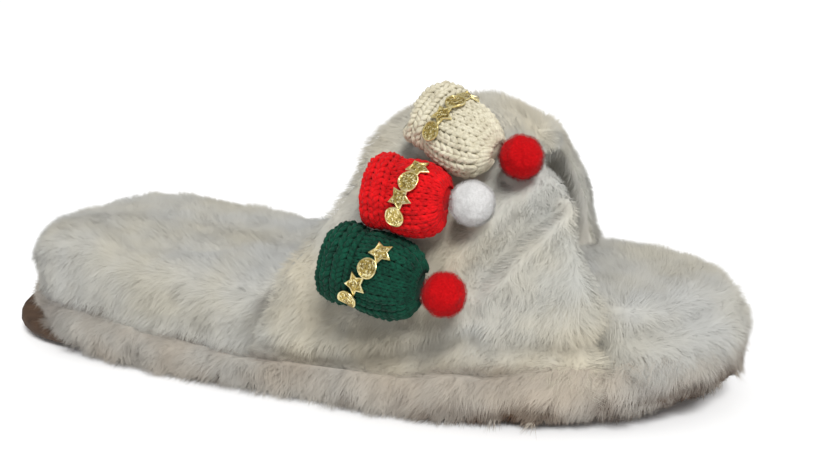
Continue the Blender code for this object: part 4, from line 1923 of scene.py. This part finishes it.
@dataclass(frozen=True)
class Studio:
    """Plain pale floor and soft light."""

    floor_size: float = 40.0
    floor_colour: Colour = (0.97, 0.97, 0.97)
    floor_shade: float = 0.98
    floor_scale: float = 3.0
    floor_edge: Pair = (0.3, 0.7)
    sky: float = 0.52
    backdrop: float = 1.05
    key_from: Point = (0.42, -0.50, 0.86)
    key_angle: float = 24.0
    key_power: float = 2.75

    def build(self) -> None:
        """Make floor, sky and key light."""
        self.lay_floor()
        self.hang_sky()
        bpy.ops.object.light_add(type="SUN", location=self.key_from)
        key = bpy.context.object
        key.rotation_mode = "QUATERNION"
        key.rotation_quaternion = Vector(self.key_from).to_track_quat("Z", "Y")
        key.data.angle = math.radians(self.key_angle)
        key.data.energy = self.key_power
        bpy.context.scene.view_settings.view_transform = "Standard"

    def lay_floor(self) -> None:
        """Make the floor, which isn't part of the slipper."""
        bpy.ops.object.select_all(action="DESELECT")
        bpy.ops.mesh.primitive_plane_add(size=self.floor_size)
        floor = bpy.context.object
        floor.name = "floor"
        paint = Paint("pale_floor")
        shade = tuple(self.floor_shade * c for c in self.floor_colour)
        paint.two_tone(paint.noise(self.floor_scale), self.floor_edge, self.floor_colour, shade)
        paint.set(Roughness=0.9, Specular_IOR_Level=0.1)
        floor.data.materials.append(paint.material)

    def hang_sky(self) -> None:
        """Make an even sky that is brighter to the eye, as a backdrop, than as a light."""
        world = bpy.data.worlds.new("soft_sky")
        world.use_nodes = True
        nodes, links = world.node_tree.nodes, world.node_tree.links
        seen = nodes.new("ShaderNodeLightPath").outputs["Is Camera Ray"]
        share = nodes.new("ShaderNodeMapRange")
        share.inputs["To Min"].default_value = self.sky
        share.inputs["To Max"].default_value = self.backdrop
        links.new(seen, share.inputs["Value"])
        links.new(share.outputs["Result"], nodes["Background"].inputs["Strength"])
        nodes["Background"].inputs["Color"].default_value = (1, 1, 1, 1)
        bpy.context.scene.world = world


FORWARD_DOWN = (0.7, 0.0, -0.7)
BAND_CREASES = (
    Crease(((0.0899, -0.0304, 0.0635), (0.0848, -0.0359, 0.0579), (0.0786, -0.0396, 0.0514),
            (0.0694, -0.0435, 0.0420)), width=0.0044, depth=0.0044, ridge=0.5, shade_and_dirt=0.30,
           steep_side=FORWARD_DOWN, steep_share=0.5),
    Crease(((0.0810, -0.0355, 0.0607), (0.0756, -0.0392, 0.0546), (0.0662, -0.0438, 0.0427)),
           width=0.0030, depth=0.0014),
    Crease(((0.0522, -0.0459, 0.0160), (0.0651, -0.0448, 0.0179), (0.0773, -0.0429, 0.0228),
            (0.0937, -0.0386, 0.0235), (0.1019, -0.0312, 0.0263)), width=0.0034, depth=0.0015, ridge=0.35),
    Crease(((-0.0045, -0.0445, 0.0150), (0.0111, -0.0458, 0.0130), (0.0292, -0.0463, 0.0143),
            (0.0526, -0.0457, 0.0204), (0.0679, -0.0444, 0.0255)), width=0.0028, depth=0.0024, shade_and_dirt=0.6),
)
BED_CREASES = (
    Crease(((-0.0760, -0.0220, 0.0437), (-0.0610, -0.0300, 0.0425), (-0.0450, -0.0300, 0.0410),
            (-0.0320, -0.0210, 0.0402)), width=0.0060, depth=0.0020, shade_and_dirt=0.0),
    Crease(((0.1143, -0.0350, 0.0277), (0.1262, -0.0246, 0.0313), (0.1331, -0.0128, 0.0340)),
           width=0.0044, depth=0.0022, shade_and_dirt=0.05),
)


def main() -> None:
    """Build the slipper piece by piece."""
    logging.basicConfig(level=logging.INFO, format="%(name)s: %(message)s")
    Shot().build()
    Studio().build()
    hats = tree_of([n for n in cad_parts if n.startswith(("hat_", "pompom_"))])
    Outsole().build()
    Wrap("fur_wrap", "wrap_fur", Fur.WRAP.value, Pile(0.0058, lift=0.6, settle=0.3),
         inset=0.0014, fill=0.6, seed=11).build()
    Footbed("footbed", "footbed_fur", Fur.FOOTBED.value, Pile(0.0052),
            inset=0.0022, fill=0.7, seed=23, creases=BED_CREASES).build()
    Band("upper", "band_fur", Fur.BAND.value, Pile(0.0048, lift=0.82, settle=0.58),
         inset=0.0018, fill=0.5, seed=37, creases=BAND_CREASES, voxel=0.0017).build(hats)
    KnitCap("green", Yarn.GREEN.value, Felt.RED.value, "red_pompom", 51).build()
    KnitCap("red", Yarn.RED.value, Felt.WHITE.value, "white_pompom", 61).build()
    KnitCap("cream", Yarn.CREAM.value, Felt.RED.value, "red_pompom", 71).build()


if __name__ == "__main__":
    main()
